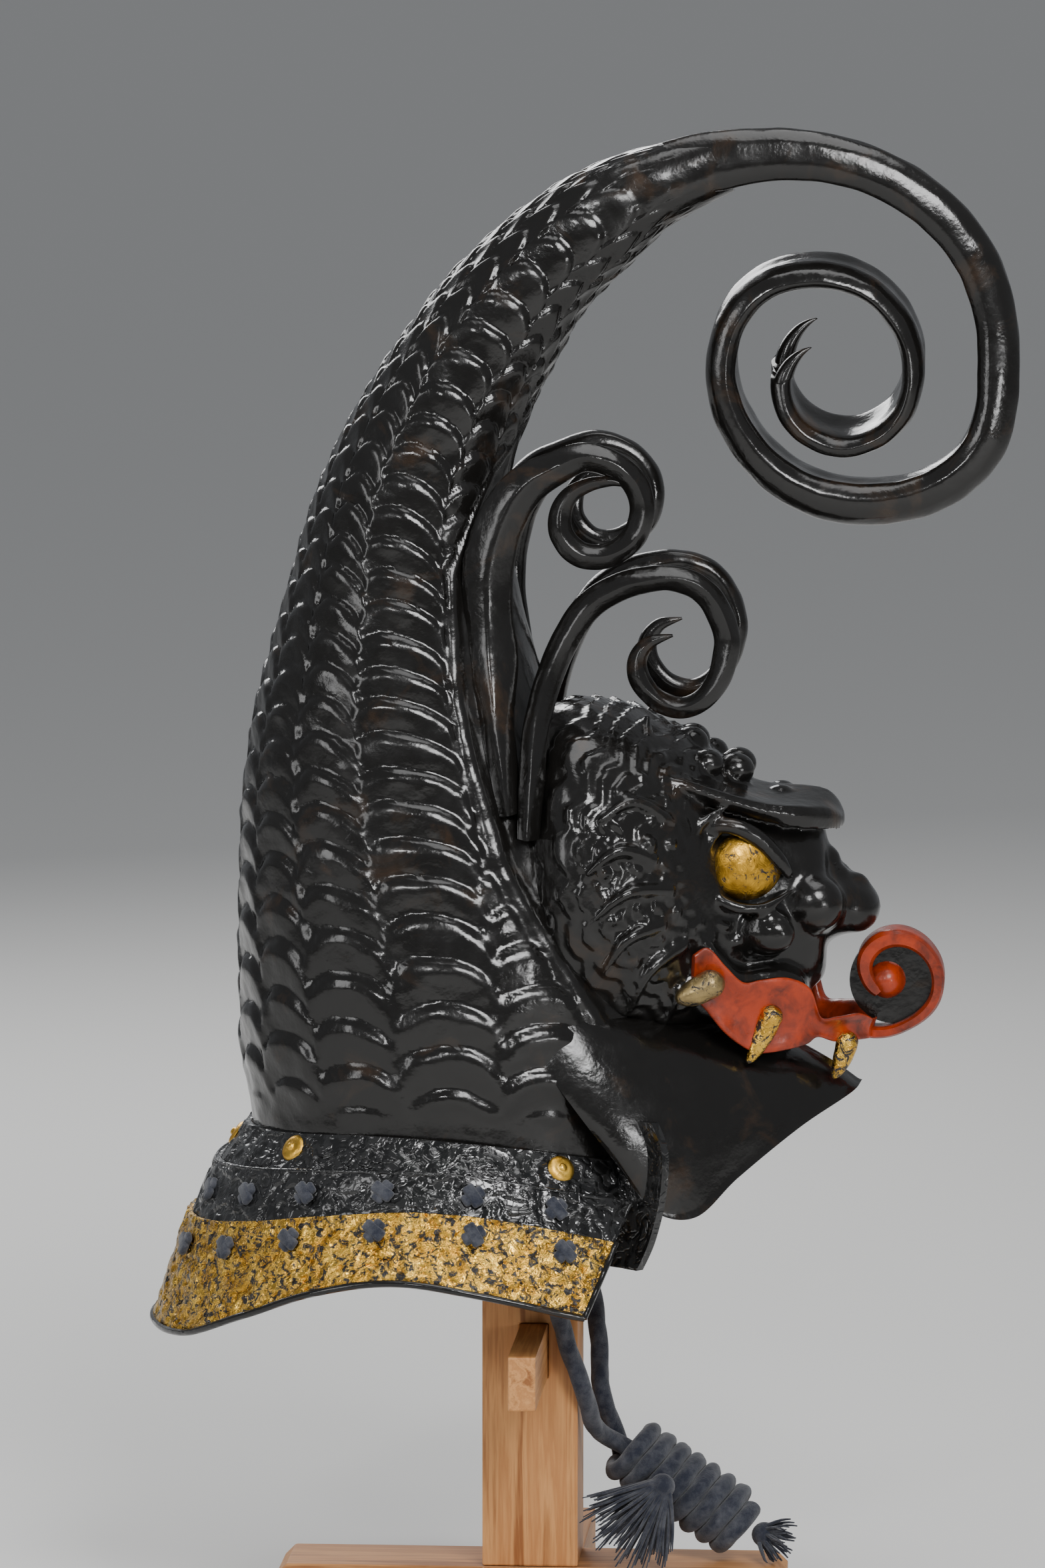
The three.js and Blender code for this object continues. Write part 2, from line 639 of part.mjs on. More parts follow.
// Head: each row is an upright section. x is a share of HEAD_LENGTH, top and bottom of
// HEAD_HEIGHT above the jaw's underside, half of HEAD_HALF_WIDTH.
const HEAD_ROWS = [
  { x: 0.0, top: 1.0, bottom: 0.1, half: 0.62 },
  { x: 0.17, top: 1.07, bottom: 0.02, half: 0.97 },
  { x: 0.34, top: 1.05, bottom: -0.02, half: 1.0 },
  { x: 0.46, top: 1.0, bottom: -0.02, half: 0.9 },
  { x: 0.56, top: 0.95, bottom: 0.0, half: 0.76 },
  { x: 0.655, top: 0.89, bottom: 0.02, half: 0.63 },
  { x: 0.75, top: 0.83, bottom: 0.06, half: 0.53 },
  { x: 0.845, top: 0.775, bottom: 0.1, half: 0.45 },
  { x: 0.93, top: 0.73, bottom: 0.14, half: 0.38 },
  { x: 0.985, top: 0.66, bottom: 0.19, half: 0.28 },
];
const HEAD_SIDES = 16;

function headCore() {
  const rings = [];
  for (const row of HEAD_ROWS) {
    const x = HEAD_BACK_X + row.x * HEAD_LENGTH;
    const top = HEAD_BOTTOM_Z + row.top * HEAD_HEIGHT;
    const bottom = HEAD_BOTTOM_Z + row.bottom * HEAD_HEIGHT;
    const half = row.half * HEAD_HALF_WIDTH;
    const ring = [];
    for (let k = 0; k < HEAD_SIDES; k += 1) {
      const a = ((k + 0.5) / HEAD_SIDES) * Math.PI * 2;
      const c = Math.cos(a);
      const s = Math.sin(a);
      const y = half * Math.sign(c) * Math.abs(c) ** 0.85;
      const z = (top + bottom) / 2 + (top - bottom) / 2 * Math.sign(s) * Math.abs(s) ** 0.9;
      ring.push(new THREE.Vector3(x, y, z));
    }
    rings.push(ring);
  }
  return loft(rings);
}

// The brow: a shelf over both eyes, narrower and lower towards the front
const BROW_ROWS = [
  { x: 0.4, z: 0.86, half: 0.66, thick: 0.5 },
  { x: 0.52, z: 0.835, half: 0.66, thick: 0.9 },
  { x: 0.66, z: 0.785, half: 0.6, thick: 1.0 },
  { x: 0.8, z: 0.74, half: 0.52, thick: 1.1 },
  { x: 0.92, z: 0.72, half: 0.44, thick: 1.3 },
  { x: 1.0, z: 0.71, half: 0.34, thick: 1.5 },
];

function brow() {
  const rings = [];
  for (const row of BROW_ROWS) {
    const x = HEAD_BACK_X + row.x * HEAD_LENGTH;
    const z = HEAD_BOTTOM_Z + row.z * HEAD_HEIGHT;
    const half = row.half * HEAD_HALF_WIDTH;
    const thick = row.thick * BROW_THICK / 2;
    const ring = [
      [half, 0.3], [half * 0.92, 1], [half * 0.45, 2.0], [0, 2.6], [-half * 0.45, 2.0], [-half * 0.92, 1],
      [-half, 0.3], [-half * 0.9, -1], [0, -1], [half * 0.9, -1],
    ].map(([y, up]) => new THREE.Vector3(x, y, z + up * thick));
    rings.push(ring);
  }
  return loft(rings);
}

// An upright half-ring ridge round the back of an eye
function eyeRidge(side, radius, thick, lift) {
  const rings = [];
  const steps = 6;
  for (let i = 0; i <= steps; i += 1) {
    const angle = THREE.MathUtils.degToRad(mix(115, 250, i / steps));
    const x = EYE_X + Math.cos(angle) * radius;
    const z = EYE_Z + Math.sin(angle) * radius;
    const y = EYE_Y + (EYE_X - x) * 0.42 + lift;
    const size = thick * (0.5 + 0.5 * Math.sin(Math.PI * i / steps));
    const ring = [];
    for (let k = 0; k < 6; k += 1) {
      const a = (k / 6) * Math.PI * 2;
      ring.push(new THREE.Vector3(
        x + Math.cos(angle) * Math.cos(a) * size,
        side * (y + Math.sin(a) * size),
        z + Math.sin(angle) * Math.cos(a) * size,
      ));
    }
    rings.push(ring);
  }
  return loft(rings);
}

const EYE_X = HEAD_BACK_X + HEAD_LENGTH * 0.74;
const EYE_Y = HEAD_HALF_WIDTH * 0.5;
const EYE_Z = HEAD_BOTTOM_Z + HEAD_HEIGHT * 0.575;

function eye(side, grow) {
  const geometry = ball(0, 0, 0, EYE_LENGTH / 2 + grow, EYE_DEPTH / 2 + grow, EYE_HEIGHT / 2 + grow, 12, 7);
  geometry.rotateZ(side * -0.42);
  geometry.translate(EYE_X, side * EYE_Y, EYE_Z);
  return toSolid(geometry);
}

// The upright ridge behind the brow, from the crown to the cheek
function temple(side) {
  const rows = [
    { x: 0.42, y: 0.3, z: 1.04, size: 2.2 },
    { x: 0.425, y: 0.58, z: 0.9, size: 3.4 },
    { x: 0.435, y: 0.78, z: 0.76, size: 3.4 },
    { x: 0.44, y: 0.88, z: 0.66, size: 3.0 },
  ];
  return loft(rows.map((row) => {
    const ring = [];
    for (let k = 0; k < 6; k += 1) {
      const a = (k / 6) * Math.PI * 2;
      ring.push(new THREE.Vector3(
        HEAD_BACK_X + row.x * HEAD_LENGTH + Math.cos(a) * row.size,
        side * (row.y * HEAD_HALF_WIDTH + Math.sin(a) * row.size),
        HEAD_BOTTOM_Z + row.z * HEAD_HEIGHT,
      ));
    }
    return ring;
  }));
}

// Studs and frill tips on the cheek: shares of the head's sizes and a radius
const CHEEK_STUDS = [
  { x: 0.4, y: 0.98, z: 0.6, size: 5.5 },
  { x: 0.3, y: 1.02, z: 0.45, size: 6 },
  { x: 0.42, y: 0.92, z: 0.4, size: 5 },
  { x: 0.52, y: 0.8, z: 0.32, size: 5 },
  { x: 0.4, y: 0.93, z: 0.2, size: 6 },
  { x: 0.52, y: 0.82, z: 0.5, size: 4.5 },
  { x: 0.27, y: 1.02, z: 0.7, size: 6 },
];
const BROW_STUDS = [
  { x: 0.84, y: 0.12, z: 0.82, size: 7 },
  { x: 0.86, y: 0.3, z: 0.79, size: 6 },
  { x: 0.62, y: 0.2, z: 0.93, size: 8 },
];

function studs(rows, side) {
  return rows.map((row) => ball(
    HEAD_BACK_X + row.x * HEAD_LENGTH,
    side * row.y * HEAD_HALF_WIDTH,
    HEAD_BOTTOM_Z + row.z * HEAD_HEIGHT,
    row.size, row.size, row.size * 0.9, 6, 4,
  ));
}

// The jaw's rim, solid across, that the red lip is seated on
function jaw() {
  const rings = LIP_ROWS.filter((row) => row.x < JAW_END).map((row) => {
    const x = HEAD_BACK_X + row.x * HEAD_LENGTH;
    const half = row.y * HEAD_HALF_WIDTH + 1;
    const top = HEAD_BOTTOM_Z + (row.top + JAW_RISE) * HEAD_HEIGHT;
    const foot = HEAD_BOTTOM_Z + (row.bottom + JAW_RISE) * HEAD_HEIGHT;
    return [[half, foot], [half, top], [0, top], [-half, top], [-half, foot], [0, foot]]
      .map(([y, z]) => new THREE.Vector3(x, y, z));
  });
  return loft(rings);
}

const MUZZLE_Z = HEAD_BOTTOM_Z + HEAD_HEIGHT * 0.42;

function headPieces() {
  const pieces = [headCore(), brow(), jaw()];
  const front = HEAD_BACK_X + HEAD_LENGTH;
  pieces.push(ball(front - 10, 0, MUZZLE_Z + 1, 26, NOSTRIL_RADIUS * 1.9, 20, 12, 7));
  pieces.push(ball(front + 10.5, 0, MUZZLE_Z - 1, NOSE_RADIUS, NOSE_RADIUS * 1.5, NOSE_RADIUS, 10, 7));
  for (const side of [-1, 1]) {
    pieces.push(ball(
      front - 8, side * 25, MUZZLE_Z + 3, NOSTRIL_RADIUS, NOSTRIL_RADIUS * 0.9, NOSTRIL_RADIUS, 10, 7));
    pieces.push(ball(
      front - 38, side * 42, MUZZLE_Z - 8, CHEEK_RADIUS, CHEEK_RADIUS, CHEEK_RADIUS * 1.15, 10, 7));
    pieces.push(eyeRidge(side, EYE_LENGTH * 0.66, 3.2, 1));
    pieces.push(eyeRidge(side, EYE_LENGTH * 0.95, 3.6, 2));
    pieces.push(temple(side));
    pieces.push(...studs(CHEEK_STUDS, side));
    pieces.push(...studs(BROW_STUDS, side));
  }
  return pieces;
}

// Visor: a smooth shell from under the jaw out to a blunt beak, lower at its side lobes.
// turn runs from straight ahead to the side; the lower edge's x and z are shares of its reach and drop.
const VISOR_ROWS = [
  { turn: 0, edgeX: 1.0, edgeY: 0.0, drop: 0.4 },
  { turn: 15, edgeX: 0.97, edgeY: 0.19, drop: 0.44 },
  { turn: 35, edgeX: 0.82, edgeY: 0.46, drop: 0.58 },
  { turn: 55, edgeX: 0.64, edgeY: 0.72, drop: 0.8 },
  { turn: 72, edgeX: 0.52, edgeY: 0.9, drop: 0.97 },
  { turn: 88, edgeX: 0.4, edgeY: 1.0, drop: 0.93 },
  { turn: 104, edgeX: 0.3, edgeY: 1.03, drop: 0.72 },
];
const VISOR_TOP_Z = HEAD_BOTTOM_Z + VISOR_TUCK;
const VISOR_AROUND = 18;
const VISOR_DOWN = 4;

function visorPoint(turnShare, down, inward) {
  const first = VISOR_ROWS[0].turn;
  const last = VISOR_ROWS[VISOR_ROWS.length - 1].turn;
  const turn = mix(first, last, Math.abs(turnShare));
  const read = (column) => readAt(VISOR_ROWS, 'turn', column, turn);
  const angle = THREE.MathUtils.degToRad(turn);
  const side = turnShare < 0 ? -1 : 1;
  const rootX = VISOR_ROOT_X + VISOR_ROOT_REACH * Math.cos(angle);
  const rootY = VISOR_HALF_WIDTH * Math.sin(angle);
  const belly = Math.sin(Math.PI * down) * VISOR_BELLY;
  const edgeX = read('edgeX') * VISOR_REACH;
  const edgeY = read('edgeY') * VISOR_HALF_WIDTH;
  const fall = down ** 0.8;
  const x = mix(rootX, edgeX, fall) + (belly - inward * 0.8) * Math.cos(angle);
  const y = mix(rootY, edgeY, fall) + (belly - inward) * Math.sin(angle);
  const z = VISOR_TOP_Z - read('drop') * VISOR_DROP * down - inward * 0.6 * Math.cos(angle);
  return new THREE.Vector3(x, side * y, z);
}

function visorShell(grow) {
  const rings = [];
  for (let i = 0; i <= VISOR_AROUND; i += 1) {
    const share = -1 + 2 * i / VISOR_AROUND;
    const ring = [];
    for (let k = 0; k <= VISOR_DOWN; k += 1) ring.push(visorPoint(share, k / VISOR_DOWN, -grow));
    for (let k = VISOR_DOWN; k >= 0; k -= 1) {
      ring.push(visorPoint(share, k / VISOR_DOWN, VISOR_THICK + grow));
    }
    rings.push(ring);
  }
  return toSolid(loft(rings));
}

// Mouth lip: a red band that flares round the mouth from corner to corner.
// x is a share of the head's length, y of its half width, top and bottom of its height.
const LIP_ROWS = [
  { x: 0.565, y: 0.7, top: 0.31, bottom: 0.18 },
  { x: 0.61, y: 0.68, top: 0.33, bottom: 0.13 },
  { x: 0.665, y: 0.64, top: 0.27, bottom: 0.06 },
  { x: 0.72, y: 0.59, top: 0.215, bottom: 0.01 },
  { x: 0.78, y: 0.54, top: 0.22, bottom: -0.02 },
  { x: 0.86, y: 0.48, top: 0.222, bottom: -0.015 },
  { x: 0.93, y: 0.42, top: 0.185, bottom: 0.0 },
  { x: 0.965, y: 0.37, top: 0.09, bottom: 0.02 },
  { x: 1.02, y: 0.3, top: 0.085, bottom: 0.0 },
  { x: 1.09, y: 0.22, top: 0.09, bottom: 0.0 },
  { x: 1.14, y: 0.13, top: 0.06, bottom: 0.0 },
];

function lipRing(row, side, grow) {
  const x = HEAD_BACK_X + row.x * HEAD_LENGTH;
  const y = row.y * HEAD_HALF_WIDTH;
  const top = HEAD_BOTTOM_Z + row.top * HEAD_HEIGHT;
  const bottom = HEAD_BOTTOM_Z + row.bottom * HEAD_HEIGHT;
  const lean = (z) => LIP_FLARE * (z - bottom) / (top - bottom);
  const inner = -LIP_THICK / 2 - grow;
  const outer = LIP_THICK / 2 + grow;
  const middle = (top + bottom) / 2;
  return [
    [inner, top - 1 + grow], [0, top + grow], [outer, top - 1 + grow], [outer - 0.6, middle],
    [outer, bottom + 1 - grow], [0, bottom - grow], [inner, bottom + 1 - grow], [inner + 0.6, middle],
  ].map(([off, z]) => new THREE.Vector3(
    x + 0.35 * (off + lean(z)), side * (y + off + lean(z)), z));
}

function lipShape(grow) {
  const stations = [];
  for (const side of [-1, 1]) {
    const half = LIP_ROWS.map((row) => lipRing(row, side, grow));
    stations.push(...(side < 0 ? half : half.reverse()));
  }
  return toSolid(loft(stations));
}

// Scroll at the front of the mouth: turn clockwise seen from the right, starting under the lip
const SCROLL_ROWS = [
  { turn: 205, reach: 1.25, thick: 1.3, wide: 0.7 },
  { turn: 160, reach: 1.0, thick: 1.0, wide: 0.9 },
  { turn: 110, reach: 0.98, thick: 1.0, wide: 1.0 },
  { turn: 55, reach: 1.0, thick: 1.0, wide: 1.0 },
  { turn: 0, reach: 1.02, thick: 1.1, wide: 1.0 },
  { turn: -45, reach: 0.88, thick: 1.2, wide: 0.95 },
  { turn: -90, reach: 0.56, thick: 1.4, wide: 0.85 },
  { turn: -130, reach: 0.38, thick: 1.4, wide: 0.75 },
];
const SCROLL_X = HEAD_BACK_X + HEAD_LENGTH * 1.205;
const SCROLL_Z = HEAD_BOTTOM_Z + HEAD_HEIGHT * 0.18;

function scroll() {
  const rings = [];
  const perRow = 2;
  const steps = (SCROLL_ROWS.length - 1) * perRow;
  for (let i = 0; i <= steps; i += 1) {
    const p = i / perRow;
    const read = (column) => smoothRead(SCROLL_ROWS, column, p);
    const angle = THREE.MathUtils.degToRad(read('turn'));
    const reach = read('reach') * SCROLL_RADIUS;
    const thick = read('thick') * SCROLL_THICK / 2;
    const wide = read('wide') * SCROLL_WIDE / 2;
    const ring = [
      [thick, -wide * 0.85], [0, -wide], [-thick, -wide * 0.85],
      [-thick, wide * 0.85], [0, wide], [thick, wide * 0.85],
    ].map(([out, y]) => new THREE.Vector3(
      SCROLL_X + Math.sin(angle) * (reach + out), y, SCROLL_Z + Math.cos(angle) * (reach + out)));
    rings.push(ring);
  }
  const web = new THREE.CylinderGeometry(SCROLL_RADIUS, SCROLL_RADIUS, 4, 16);
  web.translate(SCROLL_X, 0, SCROLL_Z);
  return joined([
    loft(rings),
    web,
    ball(SCROLL_X - 3, 0, SCROLL_Z, SCROLL_BALL, SCROLL_WIDE * 0.42, SCROLL_BALL, 10, 7),
  ]);
}

// Fangs: a curved cone from its root on the lip to its tip
const FANG_ROWS = [
  { name: 'fang_rear', x: 0.63, y: 0.72, z: 0.215, length: 0.72, girth: 1.15, leanX: -0.85, leanZ: -0.5 },
  { name: 'fang_middle', x: 0.82, y: 0.515, z: 0.1, length: 1.0, girth: 1.0, leanX: -0.35, leanZ: -0.94 },
  { name: 'fang_front', x: 1.06, y: 0.265, z: 0.0, length: 0.75, girth: 0.95, leanX: -0.2, leanZ: -0.98 },
];

function fang(row, side) {
  const rings = [];
  const steps = 4;
  for (let i = 0; i <= steps; i += 1) {
    const t = i / steps;
    const size = FANG_RADIUS * row.girth * Math.max(0.1, Math.sqrt(1 - t * t * 0.99));
    const along = FANG_LENGTH * row.length * t;
    const bend = 2.5 * t * t;
    const ring = [];
    for (let k = 0; k < 8; k += 1) {
      const a = (k / 8) * Math.PI * 2;
      ring.push(new THREE.Vector3(
        HEAD_BACK_X + row.x * HEAD_LENGTH + row.leanX * along - row.leanZ * Math.cos(a) * size * 0.9 - bend,
        side * (row.y * HEAD_HALF_WIDTH + LIP_FLARE * 0.5 + Math.sin(a) * size * 0.9 + bend),
        HEAD_BOTTOM_Z + row.z * HEAD_HEIGHT + row.leanZ * along + row.leanX * Math.cos(a) * size * 0.9,
      ));
    }
    rings.push(ring);
  }
  return toSolid(loft(rings));
}

// Cut the head's pieces to fit one another, the hardest first
const visor = largestBody(visorShell(0).subtract(bodyKeepOut));
const horns = {};
for (const [name, rows, size] of [
  ['horn_rear', REAR_HORN_ROWS, REAR_HORN],
  ['horn_front', FRONT_HORN_ROWS, FRONT_HORN],
]) {
  for (const [label, side] of [['right', -1], ['left', 1]]) {
    const rear = horns[`horn_rear_${label}`];
    let solid = horn(rows, size, side, 0).subtract(bodyKeepOut);
    if (rear) solid = solid.subtract(rear.clear);
    horns[`${name}_${label}`] = { solid: largestBody(solid), clear: horn(rows, size, side, GAP) };
  }
}
const lip = lipShape(0);
const lipClear = lipShape(GAP);
const eyes = { right: eye(-1, 0), left: eye(1, 0) };

let head = joined(headPieces()).subtract(bodyKeepOut);
head = head.subtract(visorShell(GAP)).subtract(lipClear);
for (const { clear } of Object.values(horns)) head = head.subtract(clear);
for (const side of [-1, 1]) head = head.subtract(eye(side, GAP));
head = largestBody(head);

addSolid('dragon_head', head, LACQUER);
for (const [name, { solid }] of Object.entries(horns)) addSolid(name, solid, LACQUER);
addSolid('visor', visor.subtract(lipClear), LACQUER);
addSolid('mouth_lip', lip, RED);
for (const [label, solid] of Object.entries(eyes)) addSolid(`eye_${label}`, solid, GILT);
addSolid('tongue_curl', largestBody(scroll().subtract(lipClear)), RED);
for (const row of FANG_ROWS) {
  for (const [label, side] of [['right', -1], ['left', 1]]) {
    addSolid(`${row.name}_${label}`, largestBody(fang(row, side).subtract(lipClear)), BONE_GILT);
  }
}

// Neck guard: four level lines round the bowl. reach is a share of GUARD_FLARE beyond the top
// edge, end is the turn where the line stops, and z is a share of GUARD_DROP below the top.
const LEVELS = [
  {
    reach: 0.0,
    end: 146,
    drops: [[0, 0.07], [40, 0.03], [70, 0.0], [90, 0.015], [110, 0.06], [146, 0.18]],
  },
  {
    reach: 0.29,
    end: 132,
    drops: [[0, 0.245], [35, 0.2], [60, 0.155], [80, 0.14], [95, 0.16], [115, 0.235], [132, 0.315]],
  },
  {
    reach: 0.56,
    end: 124,
    drops: [
      [0, 0.49], [25, 0.47], [45, 0.415], [60, 0.36], [80, 0.31], [95, 0.325], [110, 0.39], [124, 0.47],
    ],
  },
  {
    reach: 1.0,
    end: 114,
    drops: [[0, 1.0], [30, 0.985], [50, 0.83], [65, 0.69], [80, 0.62], [95, 0.67], [114, 0.79]],
  },
].map((level) => ({ ...level, drops: level.drops.map(([turn, drop]) => ({ turn, drop })) }));

// A point of the guard: along is -1 to 1 from the right end to the left, level runs 0 to 3
function guardPoint(along, level, out) {
  const i = Math.min(Math.max(Math.floor(level), 0), LEVELS.length - 2);
  const t = level - i;
  const spot = (l) => {
    const turn = Math.abs(along) * l.end;
    const angle = THREE.MathUtils.degToRad(turn);
    const reach = l.reach * GUARD_FLARE + out;
    return new THREE.Vector3(
      PLATE_CENTRE_X - Math.cos(angle) * (GUARD_LENGTH + reach),
      Math.sign(along) * Math.sin(angle) * (GUARD_HALF_WIDTH + reach * 0.8),
      GUARD_TOP_Z - readAt(l.drops, 'turn', 'drop', turn) * GUARD_DROP,
    );
  };
  return spot(LEVELS[i]).lerp(spot(LEVELS[i + 1]), t);
}

const GUARD_AROUND = 36;
const PLATE_ROWS = [
  { name: 'neck_plate_top', from: 0, to: 1.35, finish: WRINKLED },
  { name: 'neck_plate_middle', from: 1, to: 2.3, finish: WRINKLED },
  { name: 'neck_plate_bottom', from: 2, to: 3, finish: GILT },
];

function neckPlate(row, order) {
  const rings = [];
  const out = order * PLATE_STEP;
  const stops = [0, 0.5, 1];
  for (let i = 0; i <= GUARD_AROUND; i += 1) {
    const along = -1 + 2 * i / GUARD_AROUND;
    const ring = [];
    for (const s of stops) ring.push(guardPoint(along, mix(row.from, row.to, s), out + PLATE_THICK));
    for (const s of stops.slice().reverse()) ring.push(guardPoint(along, mix(row.from, row.to, s), out));
    rings.push(ring);
  }
  return toSolid(loft(rings));
}

// The top plate's front ends stand up and turn out beside the visor
function flange(side) {
  const rows = [
    { up: 0.0, back: 12, out: 0.85 },
    { up: 0.2, back: 6, out: 0.95 },
    { up: 0.5, back: 1, out: 1.0 },
    { up: 0.8, back: 0, out: 0.95 },
    { up: 1.0, back: 5, out: 0.7 },
  ];
  const foot = GUARD_TOP_Z + 7 - FLANGE_HEIGHT;
  return loft(rows.map((row) => {
    const z = foot + row.up * FLANGE_HEIGHT;
    const end = guardPoint(side * 0.985, 0.6, 0);
    const y = Math.abs(end.y);
    const x = FLANGE_X - row.back;
    const plan = [
      [x - 15, y - 1], [x - 3, y - 2], [x, y + FLANGE_WIDTH * 0.4],
      [x - 1, y + FLANGE_WIDTH * row.out], [x - 4, y + FLANGE_WIDTH * row.out],
      [x - 5, y + FLANGE_WIDTH * 0.4], [x - 8, y + 3], [x - 15, y + 3],
    ];
    return plan.map(([forward, w]) => new THREE.Vector3(forward, side * w, z));
  }));
}

const plates = PLATE_ROWS.map(neckPlate);
const visorKeepOut = [[-1, 0, 0], [1, 0, 0], [0, -1, 0], [0, 1, 0], [0, 0, -1]]
  .map((way) => visor.translate(...way.map((v) => v * 2 * GAP)))
  .reduce((a, b) => a.add(b));
plates[0] = joined([flange(-1), flange(1)]).add(plates[0]);
plates[0] = largestBody(plates[0].subtract(bodyKeepOut).subtract(visorKeepOut));
plates.forEach((plate, i) => addSolid(PLATE_ROWS[i].name, plate, PLATE_ROWS[i].finish));

// A place on a plate's outer face, with its outward direction and the direction down the plate
function guardSeat(along, level, order, lift) {
  const out = order * PLATE_STEP + PLATE_THICK;
  const at = guardPoint(along, level, out);
  const across = guardPoint(along + 0.01, level, out).sub(guardPoint(along - 0.01, level, out)).normalize();
  const down = guardPoint(along, level + 0.1, out).sub(guardPoint(along, level - 0.1, out)).normalize();
  const outward = down.clone().cross(across).normalize();
  if (outward.dot(at.clone().sub(new THREE.Vector3(PLATE_CENTRE_X, 0, at.z))) < 0) outward.negate();
  return { at: at.addScaledVector(outward, lift), across, outward };
}

// Turns a shape that stands on the xy plane so that its z is the seat's outward direction
function seated(geometry, seat) {
  const side = new THREE.Vector3().crossVectors(seat.outward, seat.across).normalize();
  const across = new THREE.Vector3().crossVectors(side, seat.outward).normalize();
  const matrix = new THREE.Matrix4().makeBasis(across, side, seat.outward);
  matrix.setPosition(seat.at);
  return geometry.applyMatrix4(matrix);
}

// Gilt rivets: a dished washer with a pin's dome in its middle
const SEAT_LIFT = GAP + 0.15;
const RIVET_PROFILE = [[0, 0], [1.0, 0.1], [0.84, 0.55], [0.42, 0.45], [0.3, 0.88], [0, 1]];
const RIVETS = [
  { name: 'rivet_back', along: 0 },
  { name: 'rivet_side_right', along: -0.33 },
  { name: 'rivet_side_left', along: 0.33 },
  { name: 'rivet_front_right', along: -0.83 },
  { name: 'rivet_front_left', along: 0.83 },
];
const RIVET_LEVEL = 0.42;

for (const rivet of RIVETS) {
  const profile = RIVET_PROFILE.map(([r, h]) => new THREE.Vector2(r * RIVET_RADIUS, h * RIVET_HEIGHT));
  const shape = new THREE.LatheGeometry(profile, 10);
  shape.rotateX(Math.PI / 2);
  const seat = guardSeat(rivet.along, RIVET_LEVEL, 0, SEAT_LIFT);
  addSolid(rivet.name, toSolid(seated(shape, seat)), GILT);
}

// Navy lacing: twelve columns round the guard, one knot on each of the two lower plates
const LACE_TURNS = [20, 39, 57, 75.5, 94.5, 112];
const LACE_ROWS = [
  { name: 'middle', level: 1.5, order: 1, reach: 128 },
  { name: 'bottom', level: 2.24, order: 2, reach: 121.5 },
];

for (const row of LACE_ROWS) {
  for (const [label, side] of [['right', -1], ['left', 1]]) {
    LACE_TURNS.forEach((turn, i) => {
      const shape = new THREE.BoxGeometry(LACE_SIZE, LACE_SIZE, LACE_THICK);
      shape.translate(0, 0, LACE_THICK / 2);
      const seat = guardSeat(side * turn / row.reach, row.level, row.order, SEAT_LIFT);
      add(`lacing_${row.name}_${label}_${i + 1}`, seated(shape, seat), NAVY);
    });
  }
}

// Stand: two boards halved into a cross, a post on them and a peg through the post
function baseBoard(along) {
  const half = BASE_LENGTH / 2;
  const shape = new THREE.Shape([
    new THREE.Vector2(-half, 0),
    new THREE.Vector2(half, 0),
    new THREE.Vector2(half, BASE_HEIGHT - BASE_CHAMFER),
    new THREE.Vector2(half - BASE_CHAMFER, BASE_HEIGHT),
    new THREE.Vector2(BASE_CHAMFER - half, BASE_HEIGHT),
    new THREE.Vector2(-half, BASE_HEIGHT - BASE_CHAMFER),
  ]);
  const board = new THREE.ExtrudeGeometry(shape, { depth: BOARD, bevelEnabled: false });
  board.translate(0, 0, -BOARD / 2);
  board.rotateX(Math.PI / 2);
  if (along === 'y') board.rotateZ(Math.PI / 2);
  return toSolid(board);
}

const halved = BASE_HEIGHT / 2;
const notch = BOARD / 2 + GAP;
const underNotch = toSolid(box(-notch, notch, -BOARD, BOARD, -1, halved + GAP / 2));
const overNotch = toSolid(box(-BOARD, BOARD, -notch, notch, halved - GAP / 2, BASE_HEIGHT + 1));
addSolid('stand_base_long', baseBoard('x').subtract(underNotch), PINE);
addSolid('stand_base_cross', baseBoard('y').subtract(overNotch), PINE);

const pegHole = box(
  PEG_X - PEG_WIDTH / 2 - GAP, PEG_X + PEG_WIDTH / 2 + GAP, -BOARD, BOARD,
  PEG_Z - PEG_HEIGHT / 2 - GAP, PEG_Z + PEG_HEIGHT / 2 + GAP,
);
const post = box(-BOARD / 2, BOARD / 2, -BOARD / 2, BOARD / 2, BASE_HEIGHT + GAP, CAVITY_TOP_Z - GAP);
addSolid('stand_post', toSolid(post).subtract(toSolid(pegHole)), PINE);
add('stand_peg', box(
  PEG_X - PEG_WIDTH / 2, PEG_X + PEG_WIDTH / 2, -PEG_LENGTH / 2, PEG_LENGTH / 2,
  PEG_Z - PEG_HEIGHT / 2, PEG_Z + PEG_HEIGHT / 2,
), PINE);

// Chin cord: the route of each strand from the bowl's rim to the wound hank
const CORD_RIGHT_ROUTE = [
  [15, -83, 235.5], [15, -83, 226], [15, -80.5, 212], [14.5, -73, 196], [14, -61, 180], [14.5, -47, 164],
  [17, -36, 148], [21, -30.5, 133], [26, -28.5, 119], [28.5, -22, 107], [31, -12.5, 97], [35.2, -6.9, 91.8],
  [39.5, -6.1, 88.9],
];
const CORD_LEFT_ROUTE = [
  [15, 83, 235.5], [15, 83, 226], [15.5, 80.5, 212], [17, 73, 197], [19.5, 62, 182], [23, 49, 167],
  [27, 36, 152], [30, 24, 137], [31.5, 17, 121], [32.5, 12, 107], [33.5, 8.5, 97], [36, 6.4, 91.1],
  [40.1, 6, 88.4],
];
const CORD_SIDES = 8;

